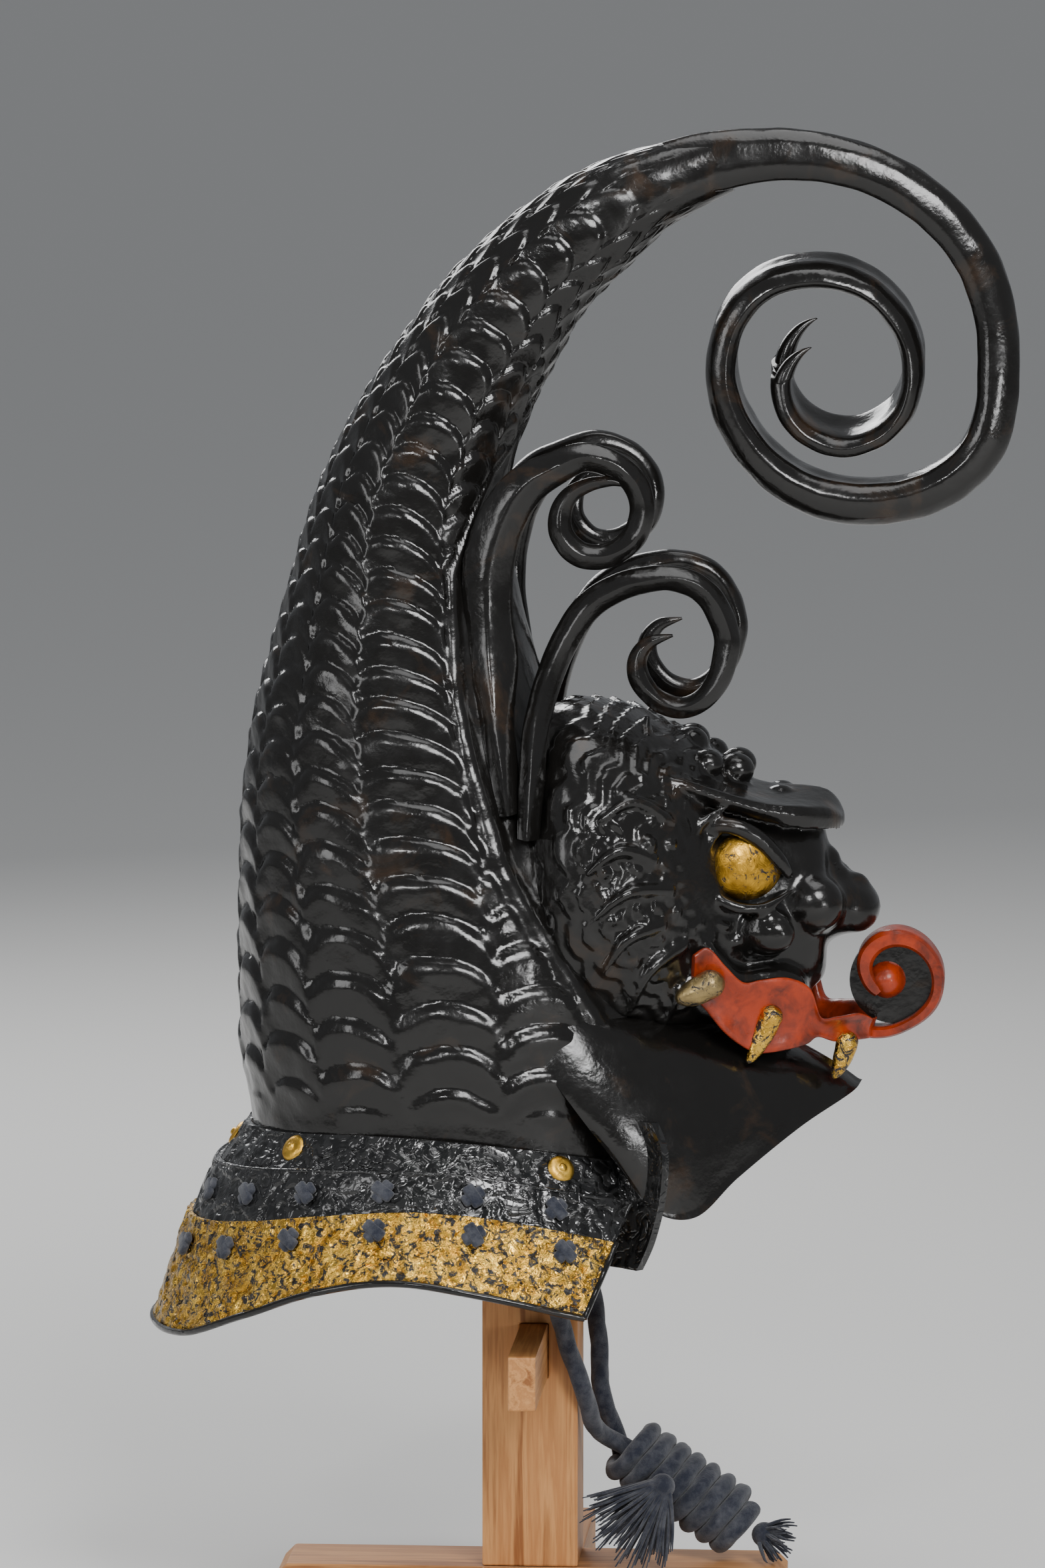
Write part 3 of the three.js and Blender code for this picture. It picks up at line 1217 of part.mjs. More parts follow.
function cordTube(route) {
  const curve = new THREE.CatmullRomCurve3(route.map((p) => new THREE.Vector3(...p)), false, 'centripetal');
  const section = new THREE.Shape();
  for (let k = 0; k < CORD_SIDES; k += 1) {
    const a = (k / CORD_SIDES) * Math.PI * 2;
    const x = Math.cos(a) * CORD_DIAMETER / 2;
    const y = Math.sin(a) * CORD_DIAMETER / 2;
    if (k === 0) section.moveTo(x, y);
    else section.lineTo(x, y);
  }
  section.closePath();
  return new THREE.ExtrudeGeometry(section, { steps: 18, bevelEnabled: false, extrudePath: curve });
}

// The hank: its axis leans from the strands' ends down to the base board's top
const HANK_TOP = new THREE.Vector3(40.5, 0, 88);
const HANK_FOOT = new THREE.Vector3(105, 0, BASE_HEIGHT + HANK_DIAMETER * 0.38);
const HANK_PROFILE = [[0, 0], [0.7, 0], [0.94, 0.08], [1.0, 0.2], [1.0, 0.8], [0.94, 0.93], [0.66, 1], [0, 1]];

function hank() {
  const axis = HANK_FOOT.clone().sub(HANK_TOP);
  const length = Math.min(HANK_LENGTH, axis.length());
  const shape = new THREE.LatheGeometry(
    HANK_PROFILE.map(([r, h]) => new THREE.Vector2(r * HANK_DIAMETER / 2, h * length)), 14);
  shape.applyQuaternion(new THREE.Quaternion().setFromUnitVectors(
    new THREE.Vector3(0, 1, 0), axis.normalize()));
  shape.translate(HANK_TOP.x, HANK_TOP.y, HANK_TOP.z);
  return shape;
}

// A frayed end: tapering locks that fan out from one head
function fringe(head, aim, length, fan, locks) {
  const direction = new THREE.Vector3(...aim).normalize();
  const across = new THREE.Vector3(0, -1, 0).cross(direction).normalize();
  const pieces = [ball(...head, 6.5, 5.5, 6.5, 8, 6)];
  for (let i = 0; i < locks; i += 1) {
    const spread = locks > 1 ? (i / (locks - 1)) * 2 - 1 : 0;
    const heading = direction.clone().addScaledVector(across, spread * fan).normalize();
    const reach = length * (1 - 0.16 * Math.abs(spread) - 0.08 * (i % 2));
    const lock = new THREE.CylinderGeometry(1.4, 3.2, reach, 6);
    lock.translate(0, reach / 2, 0);
    lock.applyQuaternion(
      new THREE.Quaternion().setFromUnitVectors(new THREE.Vector3(0, 1, 0), heading));
    lock.translate(head[0], head[1] - (i % 2) * 1.5, head[2]);
    pieces.push(lock);
  }
  return joined(pieces);
}

const TASSEL_HEAD = [64, -25, 71];
const FRAY_HEAD = [112.4, -4, 43.5];
const hankSolid = toSolid(hank());
addSolid('cord_hank', hankSolid, NAVY);
addSolid('chin_cord_right', toSolid(cordTube(CORD_RIGHT_ROUTE)), NAVY);
addSolid('chin_cord_left', toSolid(cordTube(CORD_LEFT_ROUTE)), NAVY);
addSolid('cord_tassel', fringe(TASSEL_HEAD, [-0.62, -0.12, -0.78], 44, 0.42, 6), NAVY);
addSolid('cord_fray', fringe(FRAY_HEAD, [0.7, -0.6, -0.35], 17, 0.5, 4), NAVY);

export default helmet;
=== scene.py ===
"""A kabuto helmet in the form of a scaled dragon fish, dressed over its CAD frame.

Sizes in the tables are millimetres in the row frame: +Z up, +X the way the face looks, and +Y the
wearer's left. Every mesh is made in metres, with its object at the origin.
"""

import logging
import math
from collections.abc import Callable, Iterable, Sequence
from dataclasses import dataclass, field
from enum import Enum
from functools import lru_cache

import bmesh
import bpy
from mathutils import Matrix, Vector, noise

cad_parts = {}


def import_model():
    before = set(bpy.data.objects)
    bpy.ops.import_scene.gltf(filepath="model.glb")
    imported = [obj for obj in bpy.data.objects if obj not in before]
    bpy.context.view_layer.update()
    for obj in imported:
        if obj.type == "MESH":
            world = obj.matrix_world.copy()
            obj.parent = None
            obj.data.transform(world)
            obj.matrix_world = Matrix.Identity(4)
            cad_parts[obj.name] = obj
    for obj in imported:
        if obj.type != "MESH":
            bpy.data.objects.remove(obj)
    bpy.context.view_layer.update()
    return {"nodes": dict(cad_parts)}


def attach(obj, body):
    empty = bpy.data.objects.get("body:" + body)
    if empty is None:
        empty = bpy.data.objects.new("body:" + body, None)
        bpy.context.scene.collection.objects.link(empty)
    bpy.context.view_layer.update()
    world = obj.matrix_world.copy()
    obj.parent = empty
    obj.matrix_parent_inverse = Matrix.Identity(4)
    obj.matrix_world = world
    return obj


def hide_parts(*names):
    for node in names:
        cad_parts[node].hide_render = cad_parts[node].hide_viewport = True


LOG = logging.getLogger("kabuto")
MM = 0.001
FULL_TURN = math.tau
MERGE = 1e-6
TINY = 1e-9
SMOOTH_ALL = 180.0
CORNER_SHARPNESS = 0.35
NOISE_SEED = 7
ROOT = "root"
BOTH_SIDES = (("right", -1), ("left", 1))

# A place gives a point in millimetres at a share round a shape and a share along it.
Place = Callable[[float, float], Vector]
Row = tuple[float, ...]
Mesh = bmesh.types.BMesh
Piece = bpy.types.Object
Material = bpy.types.Material
Socket = bpy.types.NodeSocket


# Reading short tables


def mix(a: float, b: float, t: float) -> float:
    """Return the value a share t of the way from a to b."""
    return a + (b - a) * t


def ease(t: float) -> float:
    """Return t held to 0..1 and smoothed at both ends."""
    t = min(max(t, 0.0), 1.0)
    return t * t * (3 - 2 * t)


def ring(share: float) -> tuple[float, float]:
    """Return the cosine and sine of a share of a full turn."""
    return math.cos(share * FULL_TURN), math.sin(share * FULL_TURN)


def smooth_read(rows: Sequence[Row], column: int, position: float) -> float:
    """Read a table's column on a smooth curve through its rows.

    Args:
        rows: The table, evenly stepped.
        column: The column that is read.
        position: Where to read, counted in rows.

    Returns:
        The value there.
    """
    last = len(rows) - 1
    p = min(max(position, 0.0), float(last))
    i = min(int(p), last - 1)
    t = p - i
    a, b, c, d = (rows[min(max(k, 0), last)][column] for k in range(i - 1, i + 3))
    bend = (2 * a - 5 * b + 4 * c - d) * t * t + (3 * b - a - 3 * c + d) * t * t * t
    return 0.5 * (2 * b + (c - a) * t + bend)


def read_at(rows: Sequence[Row], column: int, value: float) -> float:
    """Read a column where the table's first column has a given value.

    Args:
        rows: The table, its first column rising.
        column: The column that is read.
        value: The first column's value.

    Returns:
        The smooth value there.
    """
    i = 0
    while i < len(rows) - 2 and rows[i + 1][0] < value:
        i += 1
    span = rows[i + 1][0] - rows[i][0]
    t = min(max((value - rows[i][0]) / span, 0.0), 1.0)
    slopes = []
    for k in (i, i + 1):
        before, after = rows[max(k - 1, 0)], rows[min(k + 1, len(rows) - 1)]
        slopes.append((after[column] - before[column]) / (after[0] - before[0]) * span)
    a, b = rows[i][column], rows[i + 1][column]
    rise = (3 * (b - a) - 2 * slopes[0] - slopes[1]) * t * t
    return a + slopes[0] * t + rise + (2 * (a - b) + slopes[0] + slopes[1]) * t**3


def read_straight(rows: Sequence[Row], value: float) -> float:
    """Read the second column of a two-column table on straight lines between its rows.

    Args:
        rows: The table, its first column rising.
        value: The first column's value.

    Returns:
        The value there, held at both ends.
    """
    i = 0
    while i < len(rows) - 2 and rows[i + 1][0] < value:
        i += 1
    share = (value - rows[i][0]) / (rows[i + 1][0] - rows[i][0])
    return mix(rows[i][1], rows[i + 1][1], min(max(share, 0.0), 1.0))


def closed_read(points: Sequence[Row], share: float) -> tuple[float, float]:
    """Return the point a share of the way round a closed outline with straight sides.

    Args:
        points: The corners.
        share: Share of the way round.

    Returns:
        The point.
    """
    p = (share % 1.0) * len(points)
    i = int(p) % len(points)
    a, b = points[i], points[(i + 1) % len(points)]
    t = p - int(p)
    return mix(a[0], b[0], t), mix(a[1], b[1], t)


def rounded_read(points: Sequence[Row], share: float) -> tuple[float, float]:
    """Return the point a share of the way round a closed outline with rounded corners.

    Args:
        points: The corners.
        share: Share of the way round.

    Returns:
        The point.
    """
    around = [points[-1], *points, points[0], points[1]]
    p = (share % 1.0) * len(points) + 1
    smooth = smooth_read(around, 0, p), smooth_read(around, 1, p)
    straight = closed_read(points, share)
    return (
        mix(smooth[0], straight[0], CORNER_SHARPNESS),
        mix(smooth[1], straight[1], CORNER_SHARPNESS),
    )


# Shapes


def skin(across: int, along: int, place: Place, flat_ends: bool = True) -> Mesh:
    """Lay a grid on a surface, merge where it meets itself and close its open ends.

    Args:
        across: Faces round the surface.
        along: Faces along it.
        place: Gives the point in millimetres at the shares round and along.
        flat_ends: Close open ends with single faces.

    Returns:
        The mesh in metres, its faces outward.
    """
    bm = bmesh.new()
    bmesh.ops.create_grid(bm, x_segments=across, y_segments=along, size=0.5)
    for vert in bm.verts:
        vert.co = place(vert.co.x + 0.5, vert.co.y + 0.5) * MM
    bmesh.ops.remove_doubles(bm, verts=bm.verts, dist=MERGE)
    if flat_ends:
        rims = [edge for edge in bm.edges if edge.is_boundary]
        bmesh.ops.holes_fill(bm, edges=rims, sides=0)
    bmesh.ops.recalc_face_normals(bm, faces=bm.faces)
    return bm


def ball(centre: Row, radii: Row, turn: float = 0.0, parts: int = 24) -> Mesh:
    """Make an ellipsoid.

    Args:
        centre: Its middle in millimetres.
        radii: Its three half sizes in millimetres.
        turn: Its turn about the upright, in radians.
        parts: Faces round it.

    Returns:
        The mesh in metres.
    """
    bm = bmesh.new()
    bmesh.ops.create_uvsphere(bm, u_segments=parts, v_segments=parts * 2 // 3, radius=1.0)
    bmesh.ops.scale(bm, vec=Vector(radii) * MM, verts=bm.verts)
    bmesh.ops.rotate(bm, cent=(0, 0, 0), matrix=Matrix.Rotation(turn, 3, "Z"), verts=bm.verts)
    bmesh.ops.translate(bm, vec=Vector(centre) * MM, verts=bm.verts)
    return bm


def gathered(parts: Iterable[Mesh]) -> Mesh:
    """Put several meshes into one and free them.

    Args:
        parts: The meshes.

    Returns:
        The one mesh.
    """
    whole = bmesh.new()
    for part in parts:
        mesh = bpy.data.meshes.new("part")
        part.to_mesh(mesh)
        part.free()
        whole.from_mesh(mesh)
        bpy.data.meshes.remove(mesh)
    return whole


@dataclass
class Route:
    """A smooth line through points, read by its length, with a frame that doesn't twist."""

    points: Sequence[Row]
    step: float = 1.5
    reads: int = 24
    least_side: float = 0.1
    line: list[Vector] = field(init=False)
    frames: list[tuple[Vector, Vector]] = field(init=False)

    def __post_init__(self) -> None:
        """Work out evenly spaced points and a frame at each."""
        dense: list[Vector] = []
        for k in range((len(self.points) - 1) * self.reads + 1):
            p = k / self.reads
            dense.append(Vector([smooth_read(self.points, axis, p) for axis in range(3)]))
        self.line = self.even(dense)
        side = Vector((0, 0, 1)).cross(self.heading(0))
        if side.length < self.least_side:
            side = Vector((0, 1, 0))
        self.frames = []
        for i in range(len(self.line)):
            ahead = self.heading(i)
            side = (side - ahead * side.dot(ahead)).normalized()
            self.frames.append((side, ahead.cross(side)))

    def even(self, dense: list[Vector]) -> list[Vector]:
        """Return points spaced by about the step along a dense line.

        Args:
            dense: The dense line.

        Returns:
            The points.
        """
        total = sum((b - a).length for a, b in zip(dense, dense[1:]))
        count = max(2, round(total / self.step))
        gap = total / count
        line = [dense[0]]
        walked, due = 0.0, gap
        for a, b in zip(dense, dense[1:]):
            long = (b - a).length
            while walked + long >= due - TINY and len(line) < count:
                line.append(a.lerp(b, (due - walked) / long))
                due += gap
            walked += long
        line.append(dense[-1])
        return line

    def heading(self, i: int) -> Vector:
        """Return the line's direction at its point i.

        Args:
            i: The point's number.

        Returns:
            The direction.
        """
        a = self.line[max(i - 1, 0)]
        b = self.line[min(i + 1, len(self.line) - 1)]
        return (b - a).normalized()

    def length(self) -> float:
        """Return the line's length in millimetres."""
        return sum((b - a).length for a, b in zip(self.line, self.line[1:]))

    def tube(self, sides: int, radius: Callable[[float, float], float]) -> Mesh:
        """Make a closed tube on the line.

        Args:
            sides: Faces round it.
            radius: Gives the radius in millimetres at a share along and an angle round.

        Returns:
            The mesh in metres, with a flat face at each end.
        """
        last = len(self.line) - 1

        def place(u: float, v: float) -> Vector:
            """Return a point of the tube.

            Args:
                u: Share round.
                v: Share along.

            Returns:
                The point in millimetres.
            """
            i = min(round(v * last), last)
            angle = u * FULL_TURN
            side, up = self.frames[i]
            reach = radius(i / last, angle)
            return self.line[i] + side * (math.cos(angle) * reach) + up * (math.sin(angle) * reach)

        return skin(sides, last, place)


# Finishes

# The Mix node's colour inputs and output have the same names as its other ones.
MIX_COLOURS = (6, 7)
MIX_RESULT = 2


class Grain(Enum):
    """The way that a board's grain runs."""

    ALONG_X = (0.05, 1.0, 1.0)
    ALONG_Y = (1.0, 0.05, 1.0)
    UPRIGHT = (1.0, 1.0, 0.05)


class Recipe:
    """A material's node tree under construction, with the parts that every finish here uses."""

    def __init__(self, name: str) -> None:
        """Start a material with only a surface shader.

        Args:
            name: The material's name.
        """
        self.material = bpy.data.materials.new(name)
        self.material.use_nodes = True
        self.tree = self.material.node_tree
        self.tree.nodes.clear()
        self.shader = self.tree.nodes.new("ShaderNodeBsdfPrincipled")
        output = self.tree.nodes.new("ShaderNodeOutputMaterial")
        self.join(self.shader.outputs["BSDF"], output.inputs["Surface"])
        self.place = self.tree.nodes.new("ShaderNodeTexCoord").outputs["Object"]

    def join(self, source: Socket, target: Socket) -> None:
        """Link two sockets."""
        self.tree.links.new(source, target)

    def feed(self, name: str, source: Socket) -> None:
        """Lead a pattern into one of the shader's own sockets."""
        self.join(source, self.shader.inputs[name])

    def stretched(self, scale: Row) -> Socket:
        """Stretch the Object coordinates.

        Args:
            scale: The scale on each axis.

        Returns:
            The new coordinates.
        """
        mapping = self.tree.nodes.new("ShaderNodeMapping")
        mapping.inputs["Scale"].default_value = scale
        self.join(self.place, mapping.inputs["Vector"])
        return mapping.outputs["Vector"]

    def speckle(
        self,
        scale: float,
        detail: float = 4.0,
        rough: float = 0.55,
        bend: float = 0.0,
        place: Socket | None = None,
    ) -> Socket:
        """Make a noise pattern.

        Args:
            scale: Waves to the metre.
            detail: Octaves.
            rough: Strength of the finer octaves.
            bend: Distortion.
            place: Coordinates, or None for Object coordinates.

        Returns:
            The pattern's value.
        """
        node = self.tree.nodes.new("ShaderNodeTexNoise")
        for name, number in (
            ("Scale", scale),
            ("Detail", detail),
            ("Roughness", rough),
            ("Distortion", bend),
        ):
            node.inputs[name].default_value = number
        self.join(place or self.place, node.inputs["Vector"])
        return node.outputs["Fac"]

    def ranged(self, value: Socket, span: Row, to: Row = (0.0, 1.0)) -> Socket:
        """Move a value from one range to another and hold it at the ends.

        Args:
            value: The value.
            span: The range that it has.
            to: The range that it gets.

        Returns:
            The new value.
        """
        node = self.tree.nodes.new("ShaderNodeMapRange")
        for name, number in zip(("From Min", "From Max", "To Min", "To Max"), (*span, *to)):
            node.inputs[name].default_value = number
        self.join(value, node.inputs["Value"])
        return node.outputs["Result"]

    def added(self, a: Socket, b: Socket) -> Socket:
        """Add two values.

        Args:
            a: One value.
            b: The other.

        Returns:
            Their sum.
        """
        node = self.tree.nodes.new("ShaderNodeMath")
        node.operation = "ADD"
        self.join(a, node.inputs[0])
        self.join(b, node.inputs[1])
        return node.outputs["Value"]

    def shade(self, value: Socket, stops: Sequence[Row]) -> Socket:
        """Read a colour from a ramp.

        Args:
            value: Where to read it.
            stops: Rows of place, red, green and blue.

        Returns:
            The colour.
        """
        node = self.tree.nodes.new("ShaderNodeValToRGB")
        ramp = node.color_ramp
        while len(ramp.elements) < len(stops):
            ramp.elements.new(0.5)
        for element, (place, *colour) in zip(ramp.elements, stops):
            element.position = place
            element.color = (*colour, 1.0)
        self.join(value, node.inputs["Fac"])
        return node.outputs["Color"]

    def blended(self, share: Socket, a: Socket | Row, b: Socket | Row) -> Socket:
        """Mix two colours.

        Args:
            share: The share of the second colour.
            a: The first colour, a pattern or a plain one.
            b: The second colour.

        Returns:
            The mixed colour.
        """
        node = self.tree.nodes.new("ShaderNodeMix")
        node.data_type = "RGBA"
        self.join(share, node.inputs["Factor"])
        for index, colour in zip(MIX_COLOURS, (a, b)):
            if isinstance(colour, tuple):
                node.inputs[index].default_value = (*colour, 1.0)
            else:
                self.join(colour, node.inputs[index])
        return node.outputs[MIX_RESULT]

    def relief(self, height: Socket, depth: float, strength: float) -> None:
        """Raise the surface by a pattern, over any relief that it has.

        Args:
            height: The pattern.
            depth: Its full height in millimetres.
            strength: How much of it shows.
        """
        bump = self.tree.nodes.new("ShaderNodeBump")
        bump.inputs["Strength"].default_value = strength
        bump.inputs["Distance"].default_value = depth * MM
        self.join(height, bump.inputs["Height"])
        before = self.shader.inputs["Normal"]
        if before.is_linked:
            self.join(before.links[0].from_socket, bump.inputs["Normal"])
        self.join(bump.outputs["Normal"], before)

    def level(self, **values: float) -> None:
        """Set the shader's own sockets.

        Args:
            **values: Each socket's value, with an underline in its name for a space.
        """
        for name, value in values.items():
            socket = name.replace("_", " ").title().replace("Ior", "IOR")
            self.shader.inputs[socket].default_value = value


@dataclass(frozen=True)
class BlackLacquer:
    """Deep black gloss lacquer, uneven, with brown rubs where it is worn."""

    name: str = "black_lacquer"
    deep: Row = (0.006, 0.0055, 0.005)
    rubbed: Row = (0.044, 0.024, 0.012)
    gloss: Row = (0.11, 0.28)

    def build(self) -> Material:
        """Make the material from its rubs, haze, brushed waves and fine grain.

        Returns:
            The material.
        """
        recipe = Recipe(self.name)
        wear = recipe.speckle(34, detail=6, rough=0.62, bend=0.6)
        rubs = recipe.ranged(wear, span=(0.57, 0.75), to=(0.0, 0.6))
        recipe.feed("Base Color", recipe.blended(rubs, self.deep, self.rubbed))
        haze = recipe.speckle(70, detail=5, rough=0.6)
        recipe.feed("Roughness", recipe.ranged(haze, span=(0.35, 0.7), to=self.gloss))
        recipe.relief(recipe.speckle(85, detail=3, rough=0.5), depth=1.1, strength=0.55)
        recipe.relief(recipe.speckle(520, detail=3, rough=0.6), depth=0.2, strength=0.45)
        recipe.level(specular_ior_level=0.4, coat_weight=0.15, coat_roughness=0.05)
        return recipe.material


@dataclass(frozen=True)
class WrinkledLacquer:
    """Shiny black lacquer shrunk into worm-like wrinkles, with painted shade in their furrows."""

    name: str = "wrinkled_lacquer"
    crest: Row = (0.012, 0.012, 0.012)
    # Painted shade: the colour of the wrinkles' furrows, darker than the crests.
    furrow_shade: Row = (0.003, 0.003, 0.003)
    wrinkles: float = 130.0
    depth: float = 0.9

    def build(self) -> Material:
        """Make the material from its wrinkles, with painted shade in their furrows, and a fine
        grain.

        Returns:
            The material.
        """
        recipe = Recipe(self.name)
        worms = recipe.speckle(self.wrinkles, detail=1.5, rough=0.4, bend=2.2)
        ridge = recipe.ranged(worms, span=(0.42, 0.58))
        # Painted shade: the furrows get a darker colour than the crests, from the same pattern that
        # raises the wrinkles.
        recipe.feed("Base Color", recipe.blended(ridge, self.furrow_shade, self.crest))
        recipe.relief(ridge, depth=self.depth, strength=0.4)
        recipe.relief(recipe.speckle(700, detail=2, rough=0.5), depth=0.06, strength=0.3)
        recipe.level(
            roughness=0.17, specular_ior_level=0.6, coat_weight=0.15, coat_roughness=0.05
        )
        return recipe.material


@dataclass(frozen=True)
class GoldLeaf:
    """Gold leaf over dark lacquer, flaked or pitted down to the black."""

    name: str
    loss: float
    flake: float
    crumple: float = 0.5
    gloss: Row = (0.26, 0.5)
    bright: Row = (0.84, 0.53, 0.095)
    dull: Row = (0.5, 0.26, 0.03)
    ground: Row = (0.012, 0.009, 0.007)
    flake_edge: float = 0.045

    def build(self) -> Material:
        """Make the material: two tones of gold, its losses, its gloss and its creases.

        Returns:
            The material.
        """
        recipe = Recipe(self.name)
        patches = recipe.ranged(recipe.speckle(90, detail=5, rough=0.6), span=(0.35, 0.65))
        tone = recipe.blended(patches, self.dull, self.bright)
        missing = recipe.speckle(self.flake, detail=6, rough=0.72, bend=0.8)
        kept = recipe.ranged(missing, span=(self.loss, self.loss + self.flake_edge))
        recipe.feed("Base Color", recipe.blended(kept, self.ground, tone))
        recipe.feed("Metallic", kept)
        worn = recipe.speckle(240, detail=4, rough=0.6)
        recipe.feed("Roughness", recipe.ranged(worn, span=(0.3, 0.7), to=self.gloss))
        creases = recipe.speckle(190, detail=4, rough=0.6, bend=1.2)
        recipe.relief(creases, depth=self.crumple, strength=0.8)
        recipe.relief(kept, depth=0.12, strength=0.6)
        return recipe.material


@dataclass(frozen=True)
class RedLacquer:
    """Satin vermilion lacquer gone brown in its hollows."""

    name: str = "red_lacquer"
    bright: Row = (0.33, 0.03, 0.003)
    brown: Row = (0.09, 0.011, 0.003)
    gloss: Row = (0.24, 0.44)

    def build(self) -> Material:
        """Make the material from its brown wear, its gloss and its brushed waves.

        Returns:
            The material.
        """
        recipe = Recipe(self.name)
        patches = recipe.speckle(75, detail=6, rough=0.65, bend=0.5)
        worn = recipe.ranged(patches, span=(0.4, 0.66))
        recipe.feed("Base Color", recipe.blended(worn, self.bright, self.brown))
        haze = recipe.speckle(160, detail=4)
        recipe.feed("Roughness", recipe.ranged(haze, span=(0.3, 0.7), to=self.gloss))
        recipe.relief(recipe.speckle(190, detail=4, rough=0.55), depth=0.5, strength=0.5)
        recipe.level(specular_ior_level=0.4, coat_weight=0.12, coat_roughness=0.15)
        return recipe.material


@dataclass(frozen=True)
class Pine:
    """Orange-brown planed pine."""

    grain: Grain
    light: Row = (0.56, 0.27, 0.095)
    middle: Row = (0.42, 0.18, 0.058)
    dark: Row = (0.25, 0.09, 0.024)

    def build(self) -> Material:
        """Make the material from its year rings and fibres.

        Returns:
            The material.
        """
        recipe = Recipe(f"pine_{self.grain.name.lower()}")
        lie = recipe.stretched(self.grain.value)
        rings = recipe.speckle(95, detail=2.5, rough=0.5, bend=0.9, place=lie)
        fibres = recipe.speckle(900, detail=3, rough=0.6, bend=0.2, place=lie)
        broad = recipe.ranged(rings, span=(0.3, 0.7), to=(0.0, 0.8))
        fine = recipe.ranged(fibres, span=(0.3, 0.7), to=(0.0, 0.2))
        stops = ((0.1, *self.dark), (0.42, *self.light), (0.6, *self.middle), (0.9, *self.light))
        recipe.feed("Base Color", recipe.shade(recipe.added(broad, fine), stops))
        recipe.relief(fibres, depth=0.12, strength=0.4)
        recipe.level(roughness=0.5, specular_ior_level=0.4)
        return recipe.material


@dataclass(frozen=True)
class NavyCord:
    """Dull navy silk cord, greyer on its worn crests."""

    name: str = "navy_cord"
    dark: Row = (0.013, 0.016, 0.028)
    worn: Row = (0.085, 0.088, 0.1)

    def build(self) -> Material:
        """Make the material from its fading and its thread.

        Returns:
            The material.
        """
        recipe = Recipe(self.name)
        wear = recipe.speckle(150, detail=6, rough=0.7)
        fade = recipe.ranged(wear, span=(0.4, 0.7), to=(0.0, 0.8))
        recipe.feed("Base Color", recipe.blended(fade, self.dark, self.worn))
        thread = recipe.speckle(1500, detail=3, rough=0.7, bend=0.5)
        recipe.relief(thread, depth=0.5, strength=0.8)
        recipe.level(roughness=0.88, sheen_weight=0.25, specular_ior_level=0.25)
        return recipe.material


@dataclass(frozen=True)
class Paper:
    """The plain pale floor."""

    name: str = "pale_floor"
    tint: Row = (0.68, 0.675, 0.66)

    def build(self) -> Material:
        """Make the material."""
        recipe = Recipe(self.name)
        recipe.level(base_color=(*self.tint, 1.0), roughness=0.7)
        return recipe.material


@dataclass(frozen=True)
class Finish:
    """A material with the name of a slot."""

    material: Material
    slot: str


class Finishes:
    """Every finish that the pieces share."""

    def __init__(self) -> None:
        """Build the materials."""
        self.lacquer = Finish(BlackLacquer().build(), "black_lacquer")
        self.wrinkled = Finish(WrinkledLacquer().build(), "wrinkled_lacquer")
        self.plate_gold = self.gilt("crumpled_gold", 0.45, 250.0, crumple=2.4, gloss=(0.12, 0.28))
        self.fang_gold = self.gilt("flaked_gold", 0.46, 210.0, crumple=1.1, gloss=(0.14, 0.34))
        amber, umber = (0.66, 0.37, 0.045), (0.27, 0.14, 0.015)
        self.eye_gold = self.gilt("eye_gold", 0.39, 190.0, crumple=0.8, bright=amber, dull=umber)
        bone, smoke = (0.45, 0.33, 0.14), (0.2, 0.15, 0.08)
        self.worn_gold = self.gilt("worn_gold", 0.42, 160.0, bright=bone, dull=smoke)
        self.rivet_gold = self.gilt("rivet_gold", 0.33, 300.0, crumple=0.25)
        self.red = Finish(RedLacquer().build(), "red_lacquer")
        self.cord = Finish(NavyCord().build(), "navy_cord")

    def gilt(self, name: str, loss: float, flake: float, **rest: float | Row) -> Finish:
        """Make one of the gilt finishes.

        Args:
            name: The material's name.
            loss: Share of the noise below which the leaf is gone.
            flake: Flakes to the metre.
            **rest: Other values of the leaf.

        Returns:
            The finish.
        """
        return Finish(GoldLeaf(name, loss, flake, **rest).build(), "gilt")


def finished(
    name: str,
    bm: Mesh,
    finish: Finish,
    replaces: Sequence[str] = (),
    crease: float = 45.0,
) -> Piece:
    """Turn a mesh into a dressed piece that rides on the root.

    Args:
        name: The piece's name.
        bm: Its mesh in metres, which is freed.
        finish: The finish, whose material it gets.
        replaces: The CAD nodes that it stands for.
        crease: Edges that turn more than this many degrees stay sharp.

    Returns:
        The object.
    """
    mesh = bpy.data.meshes.new(name)
    bm.to_mesh(mesh)
    bm.free()
    mesh.shade_smooth()
    mesh.set_sharp_from_angle(angle=math.radians(crease))
    mesh.materials.append(finish.material)
    piece = bpy.data.objects.new(f"{name}_finished" if name in replaces else name, mesh)
    bpy.context.scene.collection.objects.link(piece)
    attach(piece, ROOT)
    if replaces:
        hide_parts(*replaces)
    LOG.info("%s: %d faces", name, len(mesh.polygons))
    return piece


def reworked(piece: Piece, crease: float) -> None:
    """Apply a piece's modifiers and set its shading.

    Args:
        piece: The piece.
        crease: Edges that turn more than this many degrees stay sharp.
    """
    depsgraph = bpy.context.evaluated_depsgraph_get()
    mesh = bpy.data.meshes.new_from_object(piece.evaluated_get(depsgraph))
    mesh.name = piece.name
    piece.modifiers.clear()
    old = piece.data
    piece.data = mesh
    bpy.data.meshes.remove(old)
    mesh.shade_smooth()
    mesh.set_sharp_from_angle(angle=math.radians(crease))
    LOG.info("%s: %d faces after its modifiers", piece.name, len(mesh.polygons))


